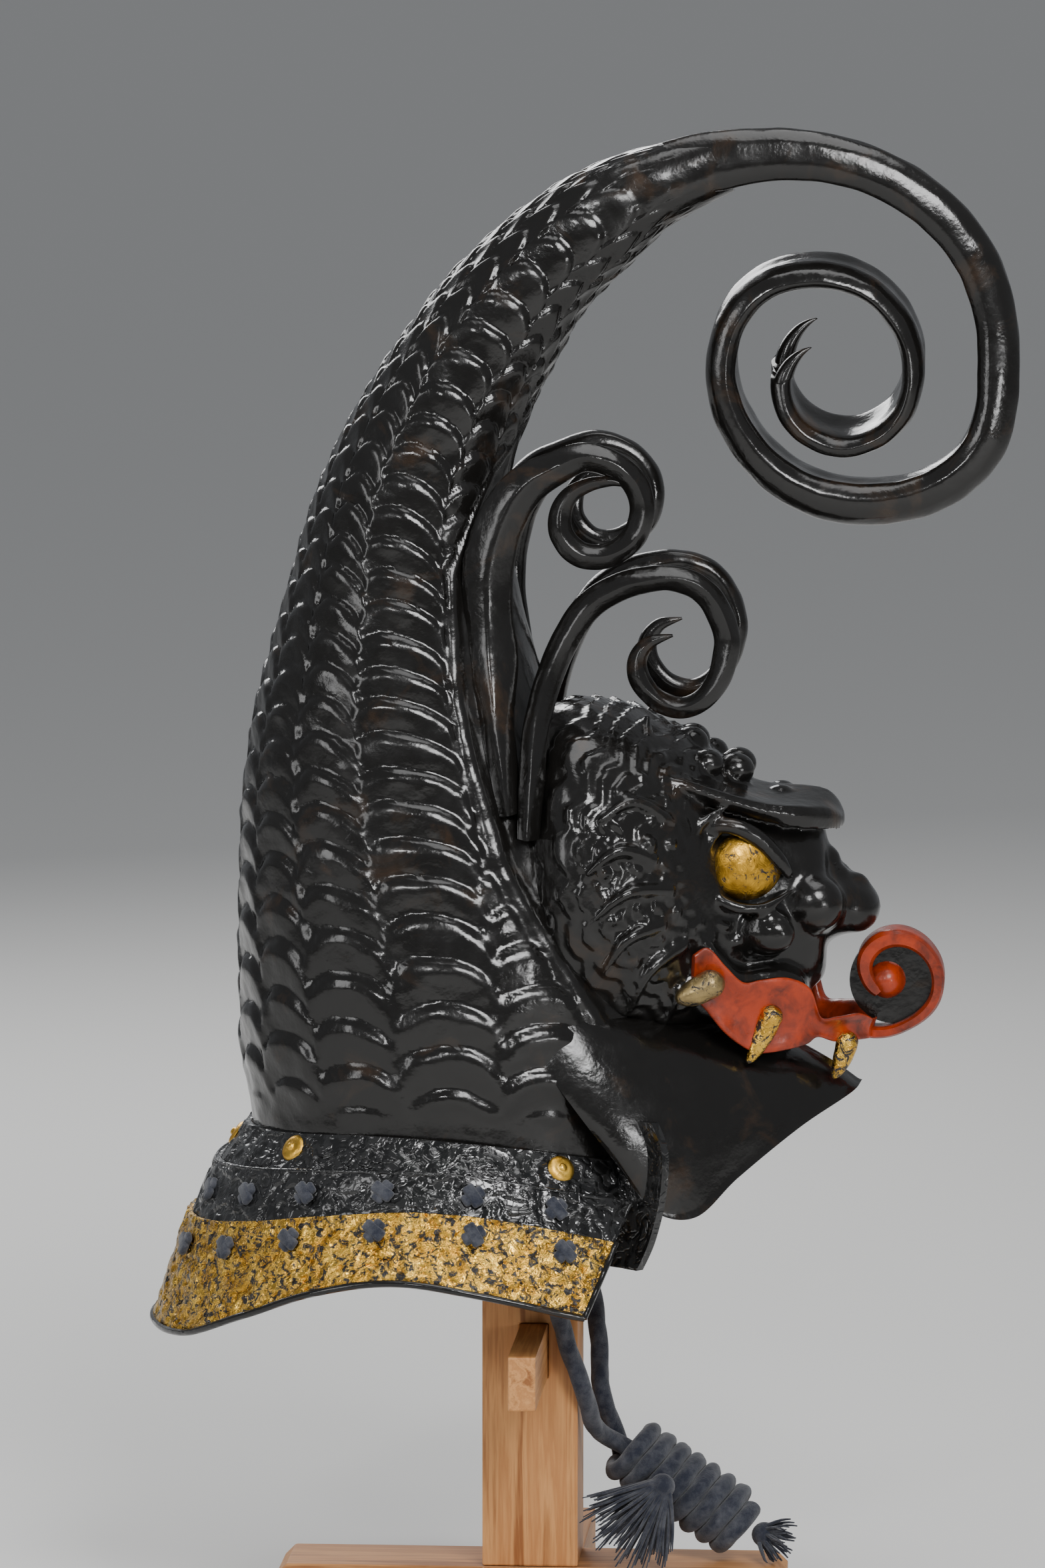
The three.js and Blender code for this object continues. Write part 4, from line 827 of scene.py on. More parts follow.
def carved(piece: Piece, tool: Mesh, crease: float = 45.0) -> None:
    """Cut a closed tool out of a piece.

    Args:
        piece: The piece.
        tool: The tool's mesh in metres, which is freed.
        crease: Edges that turn more than this many degrees stay sharp.
    """
    mesh = bpy.data.meshes.new("tool")
    tool.to_mesh(mesh)
    tool.free()
    cutter = bpy.data.objects.new("tool", mesh)
    bpy.context.scene.collection.objects.link(cutter)
    cut = piece.modifiers.new("cut", "BOOLEAN")
    cut.operation = "DIFFERENCE"
    cut.solver = "MANIFOLD"
    cut.object = cutter
    reworked(piece, crease)
    bpy.data.objects.remove(cutter)
    bpy.data.meshes.remove(mesh)


# The bowl and the scaled body above it

BODY_ROWS = (
    (-134, 236, 72, 236, 97),
    (-139, 280, 75, 278, 96),
    (-140, 325, 68, 318, 92),
    (-139.5, 368, 53, 352, 84),
    (-138, 406, 38, 385, 76),
    (-132, 444, 23, 415, 68),
    (-124, 475, 10, 445, 61),
    (-115, 507, 0, 475, 54),
    (-103, 547, -9, 513, 47),
    (-88, 580, -12, 546, 41),
    (-66, 616, -3, 585, 36),
    (-41, 649, 11, 614, 31),
    (-15, 674, 26, 639, 27),
    (13, 695, 47, 659, 24),
    (42, 709, 66, 676, 20),
    (80, 719.6, 96, 691.8, 15.0),
)
SCALE_PITCHES = ((0, 27), (4, 26), (8, 20.5), (16, 18.5), (24, 22), (30, 27))
HOLLOW_ROWS = ((0.0, 1.0), (0.3, 0.985), (0.55, 0.92), (0.75, 0.81), (0.9, 0.71), (1.0, 0.64))
BAND_ROWS = (
    (236, 17),
    (260, 30),
    (300, 46),
    (330, 54),
    (373, 63),
    (453, 66),
    (513, 62),
    (560, 34),
    (600, -20),
)


@dataclass(eq=False)
class ScaledBody:
    """One lacquered shell: the bowl with its head hollow and the high body that arches forward.

    Its rows of overlapping scales have their free edges up, and stop at a smooth band in front.
    """

    columns: int = 16
    scale_rows: int = 30
    plain_foot: float = 18.0
    relief: float = 4.0
    squareness: float = 0.94
    arc_half_width: float = 0.54
    arc_height: float = 0.92
    arc_power: float = 0.5
    side_widening: float = 0.74
    doming: float = 0.4
    step_share: float = 0.5
    step_length: float = 0.06
    seam_height: float = 0.6
    swell_power: float = 0.9
    wander: float = 0.1
    wander_waves: float = 0.035
    edge_roll: float = 0.34
    least_relief: float = 0.62
    fade_rows: float = 4.5
    settle_rows: float = 3.0
    widening_power: float = 0.8
    dents: tuple[Row, ...] = ((0.05, 0.7), (0.12, 0.45))
    band_degrees: float = 7.5
    band_edge_degrees: float = 1.6
    band_rise: float = 2.2
    band_start: float = 0.6
    hollow_centre: float = -31.0
    hollow_half: Row = (96.0, 90.0)
    rim_z: float = 236.0
    crown_z: float = 388.0
    crown_share: float = 0.2
    around: int = 256
    hollow_steps: int = 20
    foot_steps: int = 6
    steps_to_row: int = 12
    reads_to_row: int = 16
    climbs_to_row: int = 4
    cutter_sides: int = 48
    cutter_steps: int = 3
    stops: list[Row] = field(init=False)
    row_stops: list[Row] = field(init=False)

    def __post_init__(self) -> None:
        """Measure the middle line, so that the rows can be spaced by length."""
        walked = 0.0
        before: Vector | None = None
        self.stops = []
        for i in range((len(BODY_ROWS) - 1) * self.reads_to_row + 1):
            position = i / self.reads_to_row
            back, front, _ = self.section(position)
            middle = (back + front) / 2
            if before is not None:
                walked += (middle - before).length
            before = middle
            self.stops.append((walked, position))
        climbed = 0.0
        climbs = [(0.0, climbed)]
        for i in range(self.scale_rows * self.climbs_to_row):
            climbed += read_straight(SCALE_PITCHES, (i + 0.5) / self.climbs_to_row)
            climbs.append(((i + 1) / self.climbs_to_row, climbed))
        fit = (walked - self.plain_foot) / climbed
        self.row_stops = [(row, self.plain_foot + length * fit) for row, length in climbs]

    @lru_cache(maxsize=4096)
    def section(self, position: float) -> tuple[Vector, Vector, float]:
        """Return the back point, front point and half width at a position in rows."""
        read = [smooth_read(BODY_ROWS, column, position) for column in range(5)]
        return Vector((read[0], 0, read[1])), Vector((read[2], 0, read[3])), read[4]

    def point(self, position: float, turn: float, raised: float) -> Vector:
        """Return a point of the skin, raised above it.

        Args:
            position: Where along the body, in rows of its table.
            turn: Radians from the front towards the wearer's right.
            raised: Height above the plain skin.

        Returns:
            The point in millimetres.
        """
        back, front, half = self.section(position)
        along = front - back
        semi = along.length / 2
        along = along.normalized()
        c, s = math.cos(turn), math.sin(turn)
        cx = math.copysign(abs(c) ** self.squareness, c)
        sy = math.copysign(abs(s) ** self.squareness, s)
        spot = (back + front) / 2 + along * (cx * (semi + raised))
        spot.y = -sy * (half + raised)
        return spot

    def row_length(self, row: float) -> float:
        """Return how far up the middle line a row of scales starts."""
        return read_straight(self.row_stops, row)

    def position_at(self, length: float) -> float:
        """Return the position in rows at a length along the middle line."""
        return read_straight(self.stops, length)

    def scale_height(self, column: float, row: float) -> float:
        """Return how high a scale stands, 0 to 1, with a rolled free edge on its upper side.

        Args:
            column: Where round the body, in scales.
            row: Where up the body, in rows of scales.

        Returns:
            The height as a share of the relief.
        """
        nearest, second, crown = 1.0, 1.0, 1.0
        for c in (math.floor(column), math.floor(column) + 1):
            off = abs(column - c)
            if off >= self.arc_half_width:
                continue
            stagger = 0.5 if c % 2 else 0.0
            flat = 1 - (off / self.arc_half_width) ** 2
            edge = self.arc_height * flat**self.arc_power + stagger
            below = row - edge
            depth = math.ceil(below) - below
            if depth < nearest:
                nearest, second = depth, nearest
                crown = mix(1 - self.doming, 1.0, flat)
            else:
                second = min(second, depth)
        height = (1 - nearest) ** self.swell_power * crown
        under = 1 - min(second, 1.0)
        if nearest >= self.edge_roll:
            return height
        risen = self.step_share * ease(nearest / self.step_length)
        lip = mix(under * self.seam_height, height, risen)
        return mix(lip, height, ease(nearest / self.edge_roll))

    def skin_point(self, turn: float, row: float) -> Vector:
        """Return a point of the scaled outside at a turn and a row of scales.

        Args:
            turn: Radians from the front towards the wearer's right.
            row: Where up the body, in rows of scales.

        Returns:
            The point in millimetres.
        """
        length = self.row_length(row) if row >= 0 else self.plain_foot * (1 + row)
        position = self.position_at(length)
        back, front, half = self.section(position)
        fade = ease(row) * ease((self.scale_rows - row) / self.fade_rows)
        share = mix(self.least_relief, 1.0, half / BODY_ROWS[0][4])
        plain = self.point(position, turn, 0.0)
        astray = noise.noise_vector(plain * self.wander_waves) * self.wander
        climbed = max(row, 0.0) / self.scale_rows
        widen = self.side_widening * climbed**self.widening_power
        column = (turn + widen * math.sin(2 * turn) / 2) / FULL_TURN * self.columns + astray.x
        height = self.scale_height(column, max(row + astray.y, 0.0)) * fade
        z = mix(back.z, front.z, (1 + math.cos(turn)) / 2)
        away = math.degrees(min(turn, FULL_TURN - turn)) - read_straight(BAND_ROWS, z)
        past = ease((away - self.band_degrees) / self.band_edge_degrees)
        band = math.sin(math.pi * min(max(away / self.band_degrees, 0.0), 1.0)) ** 0.5
        raised = self.relief * share * height * past
        raised += self.band_rise * share * band * ease(row + self.band_start)
        dents = sum(noise.noise(plain * waves) * rise for waves, rise in self.dents)
        settled = ease(row + 1) * ease((self.scale_rows - row) / self.settle_rows)
        return self.point(position, turn, raised + dents * share * settled)

    def hollow_point(self, turn: float, share: float) -> Vector:
        """Return a point of the head hollow, from its crown's middle at 0 to the rim at 1.

        Args:
            turn: Radians from the front towards the wearer's right.
            share: Share of the way down.

        Returns:
            The point in millimetres.
        """
        if share < self.crown_share:
            size = HOLLOW_ROWS[-1][1] * share / self.crown_share
            height = 1.0
        else:
            height = 1 - (share - self.crown_share) / (1 - self.crown_share)
            size = read_straight(HOLLOW_ROWS, height)
        return Vector((
            self.hollow_centre + math.cos(turn) * self.hollow_half[0] * size,
            -math.sin(turn) * self.hollow_half[1] * size,
            mix(self.rim_z, self.crown_z, height),
        ))

    def build(self, finishes: Finishes) -> Piece:
        """Make the body.

        Args:
            finishes: The shared finishes.

        Returns:
            The piece.
        """
        rows = self.scale_rows * self.steps_to_row
        along = self.hollow_steps + self.foot_steps + rows + 2

        def place(u: float, v: float) -> Vector:
            """Return a point from the hollow's crown down, round the rim and up the outside.

            Args:
                u: Share round.
                v: Share along.

            Returns:
                The point in millimetres.
            """
            turn = u * FULL_TURN
            step = v * along
            if step <= self.hollow_steps:
                return self.hollow_point(turn, step / self.hollow_steps)
            step -= self.hollow_steps + 1
            if step < self.foot_steps:
                return self.skin_point(turn, step / self.foot_steps - 1)
            row = (step - self.foot_steps) / self.steps_to_row
            if row > self.scale_rows + MERGE:
                back, front, _ = self.section(len(BODY_ROWS) - 1)
                return (back + front) / 2
            return self.skin_point(turn, min(row, self.scale_rows))

        bm = skin(self.around, along, place, flat_ends=False)
        return finished("scaled_body", bm, finishes.lacquer, ["scaled_body"], 60)

    def envelope(self, grow: float) -> Mesh:
        """Return the space that the plain body takes, grown, for cutting other pieces.

        Args:
            grow: How far it is grown, in millimetres.

        Returns:
            The mesh in metres.
        """
        last = len(BODY_ROWS) - 1

        def place(u: float, v: float) -> Vector:
            """Return a point of the grown skin.

            Args:
                u: Share round.
                v: Share along.

            Returns:
                The point in millimetres.
            """
            spot = self.point(v * last, u * FULL_TURN, grow)
            if v < MERGE:
                spot.z -= 1
            return spot

        return skin(self.cutter_sides, last * self.cutter_steps, place)


# The tail

CURL_ROWS = (
    (-42, 124.5, 33, 30.4, 0),
    (-32, 115.1, 33, 30.4, 0),
    (-15, 105, 27.3, 28.9, 0),
    (12, 93.8, 24.2, 28.9, 0),
    (45, 84, 23.1, 30.4, 0),
    (86, 75, 21.6, 33.4, 0),
    (122, 76.5, 22, 35.7, 0.8),
    (170, 63.8, 22.4, 38, 2.3),
    (228, 55.9, 18.5, 38, 3.8),
    (270, 55.5, 15.8, 38, 5.3),
    (308, 53.6, 15, 38, 6.3),
    (350, 44.3, 13.6, 38, 7.5),
    (400, 36.8, 12.1, 37.2, 8.7),
    (448, 34.9, 11.4, 36.1, 9.9),
    (493, 37.5, 11.4, 34.2, 11.1),
    (538, 37.9, 11.9, 31.9, 12.3),
    (582, 33.8, 11.9, 28.9, 13.5),
    (618, 27.8, 11, 23.6, 14.4),
)
CURL_SECTION = (
    (0.5, -0.5),
    (0.28, -0.86),
    (-0.12, -1.0),
    (-0.42, -0.72),
    (-0.36, 0.0),
    (-0.42, 0.72),
    (-0.12, 1.0),
    (0.28, 0.86),
    (0.5, 0.5),
    (0.4, 0.0),
)


@dataclass
class CurledTail:
    """The smooth end of the body, rolled forward into a spiral with a forked tip."""

    centre: Row = (146.0, 607.0)
    start: float = -38.0
    sides: int = 60
    steps: int = 420
    hammer: float = 0.45
    hammer_waves: float = 0.09
    fork: tuple[Row, ...] = ((-0.55, 46.0, 0.2), (0.55, 58.0, 0.3))
    tip_overlap: float = 6.0
    tip_size: float = 75.0
    tip_reach: Row = (0.375, 0.22)
    tip_radii: Row = (5.1, 5.0)
    tip_end: float = 0.08
    tip_taper: float = 1.4
    tip_apart: float = 11.8
    tip_slant: float = 15.0

    def point(self, turn: float, out: float, side: float) -> Vector:
        """Return a point of the ribbon.

        Args:
            turn: Degrees clockwise from straight up about the spiral's centre.
            out: Share of the thickness out from the middle line.
            side: Share of the half width towards the wearer's left.

        Returns:
            The point in millimetres.
        """
        reach, thick, wide, slant = (read_at(CURL_ROWS, column, turn) for column in range(1, 5))
        angle = math.radians(turn)
        far = reach + out * thick
        return Vector((
            self.centre[0] + math.sin(angle) * far,
            side * wide / 2,
            self.centre[1] + math.cos(angle) * far + (side + 1) / 2 * slant,
        ))

    def ribbon(self) -> Mesh:
        """Return the spiral's mesh.

        Returns:
            The mesh in metres.
        """
        last = CURL_ROWS[-1][0]

        def place(u: float, v: float) -> Vector:
            """Return a point of the ribbon, slightly hammered.

            Args:
                u: Share round.
                v: Share along.

            Returns:
                The point in millimetres.
            """
            out, side = rounded_read(CURL_SECTION, u)
            spot = self.point(mix(self.start, last, v), out, side)
            away = (spot - Vector((self.centre[0], 0, self.centre[1]))).normalized()
            return spot + away * (noise.noise(spot * self.hammer_waves) * self.hammer)

        return skin(self.sides, self.steps, place)

    def tip(self, side: float, sweep: float, lift: float) -> Mesh:
        """Return one point of the fork, which carries the spiral on past the ribbon's end.

        Args:
            side: Where it starts across the ribbon.
            sweep: Degrees that it runs on.
            lift: How far it spreads from the other point.

        Returns:
            The mesh in metres.
        """
        last = CURL_ROWS[-1][0]

        def place(u: float, v: float) -> Vector:
            """Return a point of the taper.

            Args:
                u: Share round.
                v: Share along.

            Returns:
                The point in millimetres.
            """
            size = mix(1.0, self.tip_end, v**self.tip_taper)
            angle = math.radians(last - self.tip_overlap + sweep * v)
            start, end = self.tip_reach
            middle = self.tip_size * mix(start, end - lift * 0.1, v)
            a = u * FULL_TURN
            out = middle + math.cos(a) * self.tip_radii[0] * size
            slant = (side + 1) / 2 * self.tip_slant * (1 + lift * v)
            return Vector((
                self.centre[0] + math.sin(angle) * out,
                side * self.tip_apart + math.sin(a) * self.tip_radii[1] * size,
                self.centre[1] + math.cos(angle) * out + slant,
            ))

        return skin(16, 24, place)

    def build(self, finishes: Finishes) -> Piece:
        """Make the tail from its ribbon and two points."""
        parts = [self.ribbon()] + [self.tip(*row) for row in self.fork]
        return finished("tail_curl", gathered(parts), finishes.lacquer, ["tail_curl"], 80)


# The horns

REAR_HORN_ROWS = (
    (-0.04, 0.0, 0.22, 0.24, 1.0),
    (-0.06, 0.12, 0.26, 0.3, 1.0),
    (-0.083, 0.268, 0.34, 0.36, 1.0),
    (-0.1, 0.417, 0.48, 0.52, 1.0),
    (-0.11, 0.565, 0.48, 0.48, 1.0),
    (-0.107, 0.685, 0.5, 0.48, 0.97),
    (-0.072, 0.81, 0.48, 0.44, 0.94),
    (-0.012, 0.91, 0.4, 0.42, 0.9),
    (0.071, 0.964, 0.32, 0.35, 0.86),
    (0.16, 1.0, 0.26, 0.3, 0.82),
    (0.25, 0.98, 0.22, 0.3, 0.78),
    (0.313, 0.923, 0.2, 0.3, 0.74),
    (0.333, 0.845, 0.18, 0.3, 0.7),
    (0.304, 0.768, 0.2, 0.28, 0.66),
    (0.232, 0.723, 0.24, 0.24, 0.64),
    (0.155, 0.726, 0.28, 0.22, 0.62),
    (0.101, 0.78, 0.26, 0.22, 0.58),
    (0.095, 0.845, 0.2, 0.22, 0.52),
    (0.122, 0.896, 0.14, 0.2, 0.44),
    (0.178, 0.926, 0.1, 0.17, 0.34),
    (0.235, 0.932, 0.07, 0.12, 0.24),
    (0.283, 0.917, 0.025, 0.03, 0.1),
)
FRONT_HORN_ROWS = (
    (0.02, 0.0, 0.4, 0.4, 1.0),
    (0.029, 0.213, 0.46, 0.5, 1.0),
    (0.041, 0.418, 0.46, 0.5, 1.0),
    (0.082, 0.598, 0.47, 0.54, 1.0),
    (0.148, 0.754, 0.5, 0.54, 1.0),
    (0.238, 0.885, 0.52, 0.54, 0.98),
    (0.36, 0.959, 0.54, 0.5, 0.95),
    (0.466, 0.989, 0.5, 0.48, 0.92),
    (0.558, 1.0, 0.44, 0.52, 0.9),
    (0.652, 0.981, 0.38, 0.58, 0.88),
    (0.72, 0.932, 0.34, 0.62, 0.86),
    (0.77, 0.852, 0.32, 0.66, 0.84),
    (0.794, 0.762, 0.32, 0.64, 0.82),
    (0.781, 0.683, 0.36, 0.58, 0.8),
    (0.744, 0.6, 0.42, 0.46, 0.78),
    (0.683, 0.531, 0.44, 0.36, 0.76),
    (0.605, 0.497, 0.44, 0.34, 0.74),
    (0.515, 0.522, 0.44, 0.34, 0.7),
    (0.444, 0.598, 0.42, 0.36, 0.62),
    (0.43, 0.677, 0.36, 0.34, 0.52),
    (0.475, 0.746, 0.24, 0.26, 0.36),
    (0.566, 0.774, 0.05, 0.06, 0.1),
)
HORN_SECTION = (
    (1.0, 0.1),
    (0.55, 0.62),
    (0.0, 1.0),
    (-0.6, 0.55),
    (-1.0, 0.0),
    (-0.75, -0.55),
    (0.0, -0.8),
    (0.75, -0.5),
)


@dataclass
class Horn:
    """A scrolled horn with a roof-shaped section, its ridge out to the side."""

    name: str
    rows: tuple[Row, ...]
    height: float
    width: float
    depth: float
    root_z: float
    root_spread: float
    spread: float = 44.0
    root_rows: float = 4.0
    probe: float = 0.1
    least_out: float = 0.02
    least_deep: float = 0.06
    hammer: float = 0.3
    hammer_waves: float = 0.11
    sides: int = 40
    steps: int = 210
    crease: float = 38.0

    def point(self, share: float, along: float, side: int) -> Vector:
        """Return a point of the horn.

        Args:
            share: How far round the section.
            along: How far from the root to the tip.
            side: -1 on the wearer's right, 1 on the left.

        Returns:
            The point in millimetres.
        """
        p = along * (len(self.rows) - 1)
        x, z, outer, inner, deep = (smooth_read(self.rows, column, p) for column in range(5))
        dx, dz = (
            smooth_read(self.rows, column, p + self.probe)
            - smooth_read(self.rows, column, p - self.probe)
            for column in (0, 1)
        )
        long = math.hypot(dx, dz) or 1.0
        spread = mix(self.root_spread, self.spread, ease(p / self.root_rows))
        out, across = rounded_read(HORN_SECTION, share)
        out *= max(outer if out > 0 else inner, self.least_out) * self.width
        across *= max(deep, self.least_deep) * self.depth / 2
        spot = Vector((
            x * self.height - dz / long * out,
            side * (spread + across),
            self.root_z + z * self.height + dx / long * out,
        ))
        return spot + Vector([self.hammer] * 3) * noise.noise(spot * self.hammer_waves)

    def build(self, finishes: Finishes) -> list[Piece]:
        """Make the pair of horns.

        Args:
            finishes: The shared finishes.

        Returns:
            The two pieces.
        """
        made = []
        for label, side in BOTH_SIDES:
            name = f"{self.name}_{label}"
            bm = skin(self.sides, self.steps, lambda u, v, s=side: self.point(u, v, s))
            made.append(finished(name, bm, finishes.lacquer, [name], self.crease))
        return made


# The head

HEAD_ROWS = (
    (-5, 438, 303, 52),
    (20, 448.5, 291, 81.5),
    (45.3, 445.5, 285, 84),
    (63, 438, 285, 75.6),
    (78, 430.5, 288, 63.8),
    (92, 420, 291, 50),
    (106, 410, 297, 40),
    (120, 402, 303, 34.5),
    (132.6, 396, 309, 29),
    (141, 386, 316.5, 22),
)
BROW_ROWS = (
    (54, 417, 55, 2.0),
    (72, 413.2, 56, 3.6),
    (92.7, 405.7, 51, 4.0),
    (113.4, 399, 44, 4.4),
    (131, 396, 37, 5.2),
    (141, 394.5, 26, 5.0),
    (146.5, 392.5, 16, 3.8),
    (149.5, 391, 5, 1.8),
)
LIP_ROWS = (
    (78.6, 58.8, 334.5, 315),
    (85.3, 57.1, 337.5, 307.5),
    (93.4, 53.8, 328.5, 297),
    (101.6, 49.6, 320.3, 289.5),
    (110.4, 45.4, 321, 285),
    (122.3, 40.3, 321.3, 285.8),
    (132.6, 35.3, 315.8, 288),
    (137.8, 31.1, 301.5, 291),
    (146, 25.2, 300.8, 288),
    (156.3, 18.5, 301.5, 288),
    (163.7, 10.9, 297, 288),
)
FRILLS = (
    ((68, 398), (52, 408), (34, 398), 3.4),
    ((62, 380), (46, 386), (28, 372), 3.6),
    ((70, 366), (50, 366), (31, 350), 3.4),
    ((66, 350), (50, 344), (38, 326), 3.6),
    ((76, 340), (60, 328), (50, 306), 3.6),
    ((88, 330), (74, 316), (66, 298), 3.2),
)
EYE_LIDS = (
    (
        (
            (83, 46, 388),
            (91, 49, 394),
            (101, 49.5, 393),
            (111, 47, 387),
            (119, 43.5, 378),
            (126, 37, 368),
        ),
        4.4,
    ),
    (
        (
            (86, 46, 370),
            (91, 49, 360),
            (101, 50, 355),
            (111, 47.5, 355),
            (120, 42.5, 358.5),
            (127, 36, 363),
        ),
        3.4,
    ),
)
BRIDGE_BUMPS = (
    (142, 0, 374, 6.5),
    (148, 6, 367, 5),
    (156, 0, 362, 6),
    (133, 11, 382, 6),
    (119, 9, 402.5, 8),
    (124, 25, 397.5, 7),
    (98, 13, 417, 9),
    (85, 26, 421, 8),
    (76, 8, 429, 9),
)
TEMPLE_SPINE = ((56, 26, 443), (57.5, 50, 424), (58.5, 64, 406), (59, 72, 390))
BROW_SECTION = (
    (1, 0.2),
    (0.97, 1.1),
    (0.6, 1.5),
    (0, 2.4),
    (-0.6, 1.5),
    (-0.97, 1.1),
    (-1, 0.2),
    (-0.9, -1),
    (0, -1),
    (0.9, -1),
)
JAW_SECTION = ((1, 0.0), (1, 1.0), (0, 1.0), (-1, 1.0), (-1, 0.0), (0, 0.0))
MUZZLE_BALLS = (
    ((133, 0, 352), (26, 26.6, 20)),
    ((153.5, 0, 350), (14, 19, 13.5)),
)
NOSTRIL = ((136, 24, 354), (15, 13, 14.5), 0.0)
CHEEK = ((112, 38, 342), (18, 11, 12), 0.5)
FACE_ZONES = ((96, 14, 369, 6), (122, 8, 388, 4))


@dataclass
class DragonHead:
    """The beast's head on the forehead, with its eyes, brow, nose, cheeks and frills."""

    eye: Row = (104.5, 42.0, 374.3)
    eye_half: Row = (17.5, 9.5, 16.5)
    eye_turn: float = 0.42
    ring_radii: tuple[Row, ...] = ((21, 2.6, 1.0), (30, 3.2, 2.0))
    stud_arcs: tuple[Row, ...] = ((37, 125, 262, 2.1), (50, 112, 258, 2.5), (66, 118, 250, 2.8))
    ring_span: Row = (108.0, 256.0)
    face_slope: float = 0.42
    stud_gap: float = 11.0
    stud_window: tuple[Row, Row] = ((34.0, 100.0), (292.0, 428.0))
    stud_sizes: Row = (1.25, 0.95)
    temple_ball: Row = (4.6, 4.2, 4.6)
    jaw_rows: int = 7
    jaw_lift: float = 4.0
    side_power: float = 0.85
    crown_power: float = 0.9
    mane_pitch: float = 8.0
    mane_rise: float = 2.8
    mane_locks: float = 13.0
    mane_lobe: float = 0.55
    mane_power: float = 1.4
    mane_start: Row = (30.0, 7.0)
    mane_end: Row = (102.0, 14.0)
    voxel: float = 1.25
    melt_share: float = 0.8
    face_melt: int = 42
    body_overlap: float = 2.0

    def core_half(self, x: float, z: float) -> float:
        """Return the core's half width at a place on its side.

        Args:
            x: Place from back to front.
            z: Height.

        Returns:
            The half width in millimetres.
        """
        p = 0
        while p < len(HEAD_ROWS) - 2 and HEAD_ROWS[p + 1][0] < x:
            p += 1
        t = (x - HEAD_ROWS[p][0]) / (HEAD_ROWS[p + 1][0] - HEAD_ROWS[p][0])
        top, bottom, half = (smooth_read(HEAD_ROWS, column, p + t) for column in (1, 2, 3))
        up = (z - (top + bottom) / 2) / ((top - bottom) / 2)
        up = min(abs(up), 1.0) ** (1 / self.crown_power)
        return half * math.sqrt(max(1 - up * up, 0.0)) ** self.side_power

    def mane(self, spot: Vector) -> float:
        """Return the height of the carved locks that fan back from the eye, in scalloped rows.

        Args:
            spot: The place on the core.

        Returns:
            The height in millimetres.
        """
        ex, ey, ez = self.eye
        away = math.sqrt((spot.x - ex) ** 2 + (spot.z - ez) ** 2 + (0.7 * (abs(spot.y) - ey)) ** 2)
        angle = math.atan2(spot.z - ez, ex - spot.x)
        lobes = abs(math.sin(self.mane_locks * angle + 0.6 * noise.noise(spot * 0.05)))
        phase = away / self.mane_pitch - self.mane_lobe * lobes + 0.4 * noise.noise(spot * 0.04)
        rise = (phase % 1.0) ** self.mane_power * mix(self.mane_lobe, 1.0, lobes)
        start, start_long = self.mane_start
        end, end_long = self.mane_end
        reach = ease((away - start) / start_long) * ease((end - spot.x) / end_long)
        return self.mane_rise * rise * reach

    def core(self) -> Mesh:
        """Return the head's main mass.

        Returns:
            The mesh in metres.
        """
        last = len(HEAD_ROWS) - 1

        def place(u: float, v: float) -> Vector:
            """Return a point of an upright section.

            Args:
                u: Share round.
                v: Share along.

            Returns:
                The point in millimetres.
            """
            x, top, bottom, half = (smooth_read(HEAD_ROWS, column, v * last) for column in range(4))
            c, s = ring(u)
            y = half * math.copysign(abs(c) ** self.side_power, c)
            up = math.copysign(abs(s) ** self.crown_power, s)
            spot = Vector((x, y, (top + bottom) / 2 + (top - bottom) / 2 * up))
            return spot + Vector((0, c, s)) * self.mane(spot)

        return skin(340, 130, place)

    def brow(self) -> Mesh:
        """Return the shelf over both eyes, with a sharp rim.

        Returns:
            The mesh in metres.
        """
        last = len(BROW_ROWS) - 1

        def place(u: float, v: float) -> Vector:
            """Return a point of the shelf.

            Args:
                u: Share round.
                v: Share along.

            Returns:
                The point in millimetres.
            """
            x, z, half, thick = (smooth_read(BROW_ROWS, column, v * last) for column in range(4))
            across, up = closed_read(BROW_SECTION, u)
            return Vector((x, across * half, z + up * thick))

        return skin(60, 60, place)

    def jaw(self) -> Mesh:
        """Return the solid rim that the red lip is seated on.

        Returns:
            The mesh in metres.
        """
        rows = LIP_ROWS[: self.jaw_rows]
        last = len(rows) - 1

        def place(u: float, v: float) -> Vector:
            """Return a point of the rim.

            Args:
                u: Share round.
                v: Share along.

            Returns:
                The point in millimetres.
            """
            x, half, top, foot = (smooth_read(rows, column, v * last) for column in range(4))
            across, up = closed_read(JAW_SECTION, u)
            return Vector((x, across * (half + 1), mix(foot, top, up) + self.jaw_lift))

        return skin(36, 40, place)

    def on_cheek(self, x: float, z: float, side: int, lift: float) -> Row:
        """Return a place on the core's side, lifted off it."""
        return (x, side * (self.core_half(x, z) + lift), z)

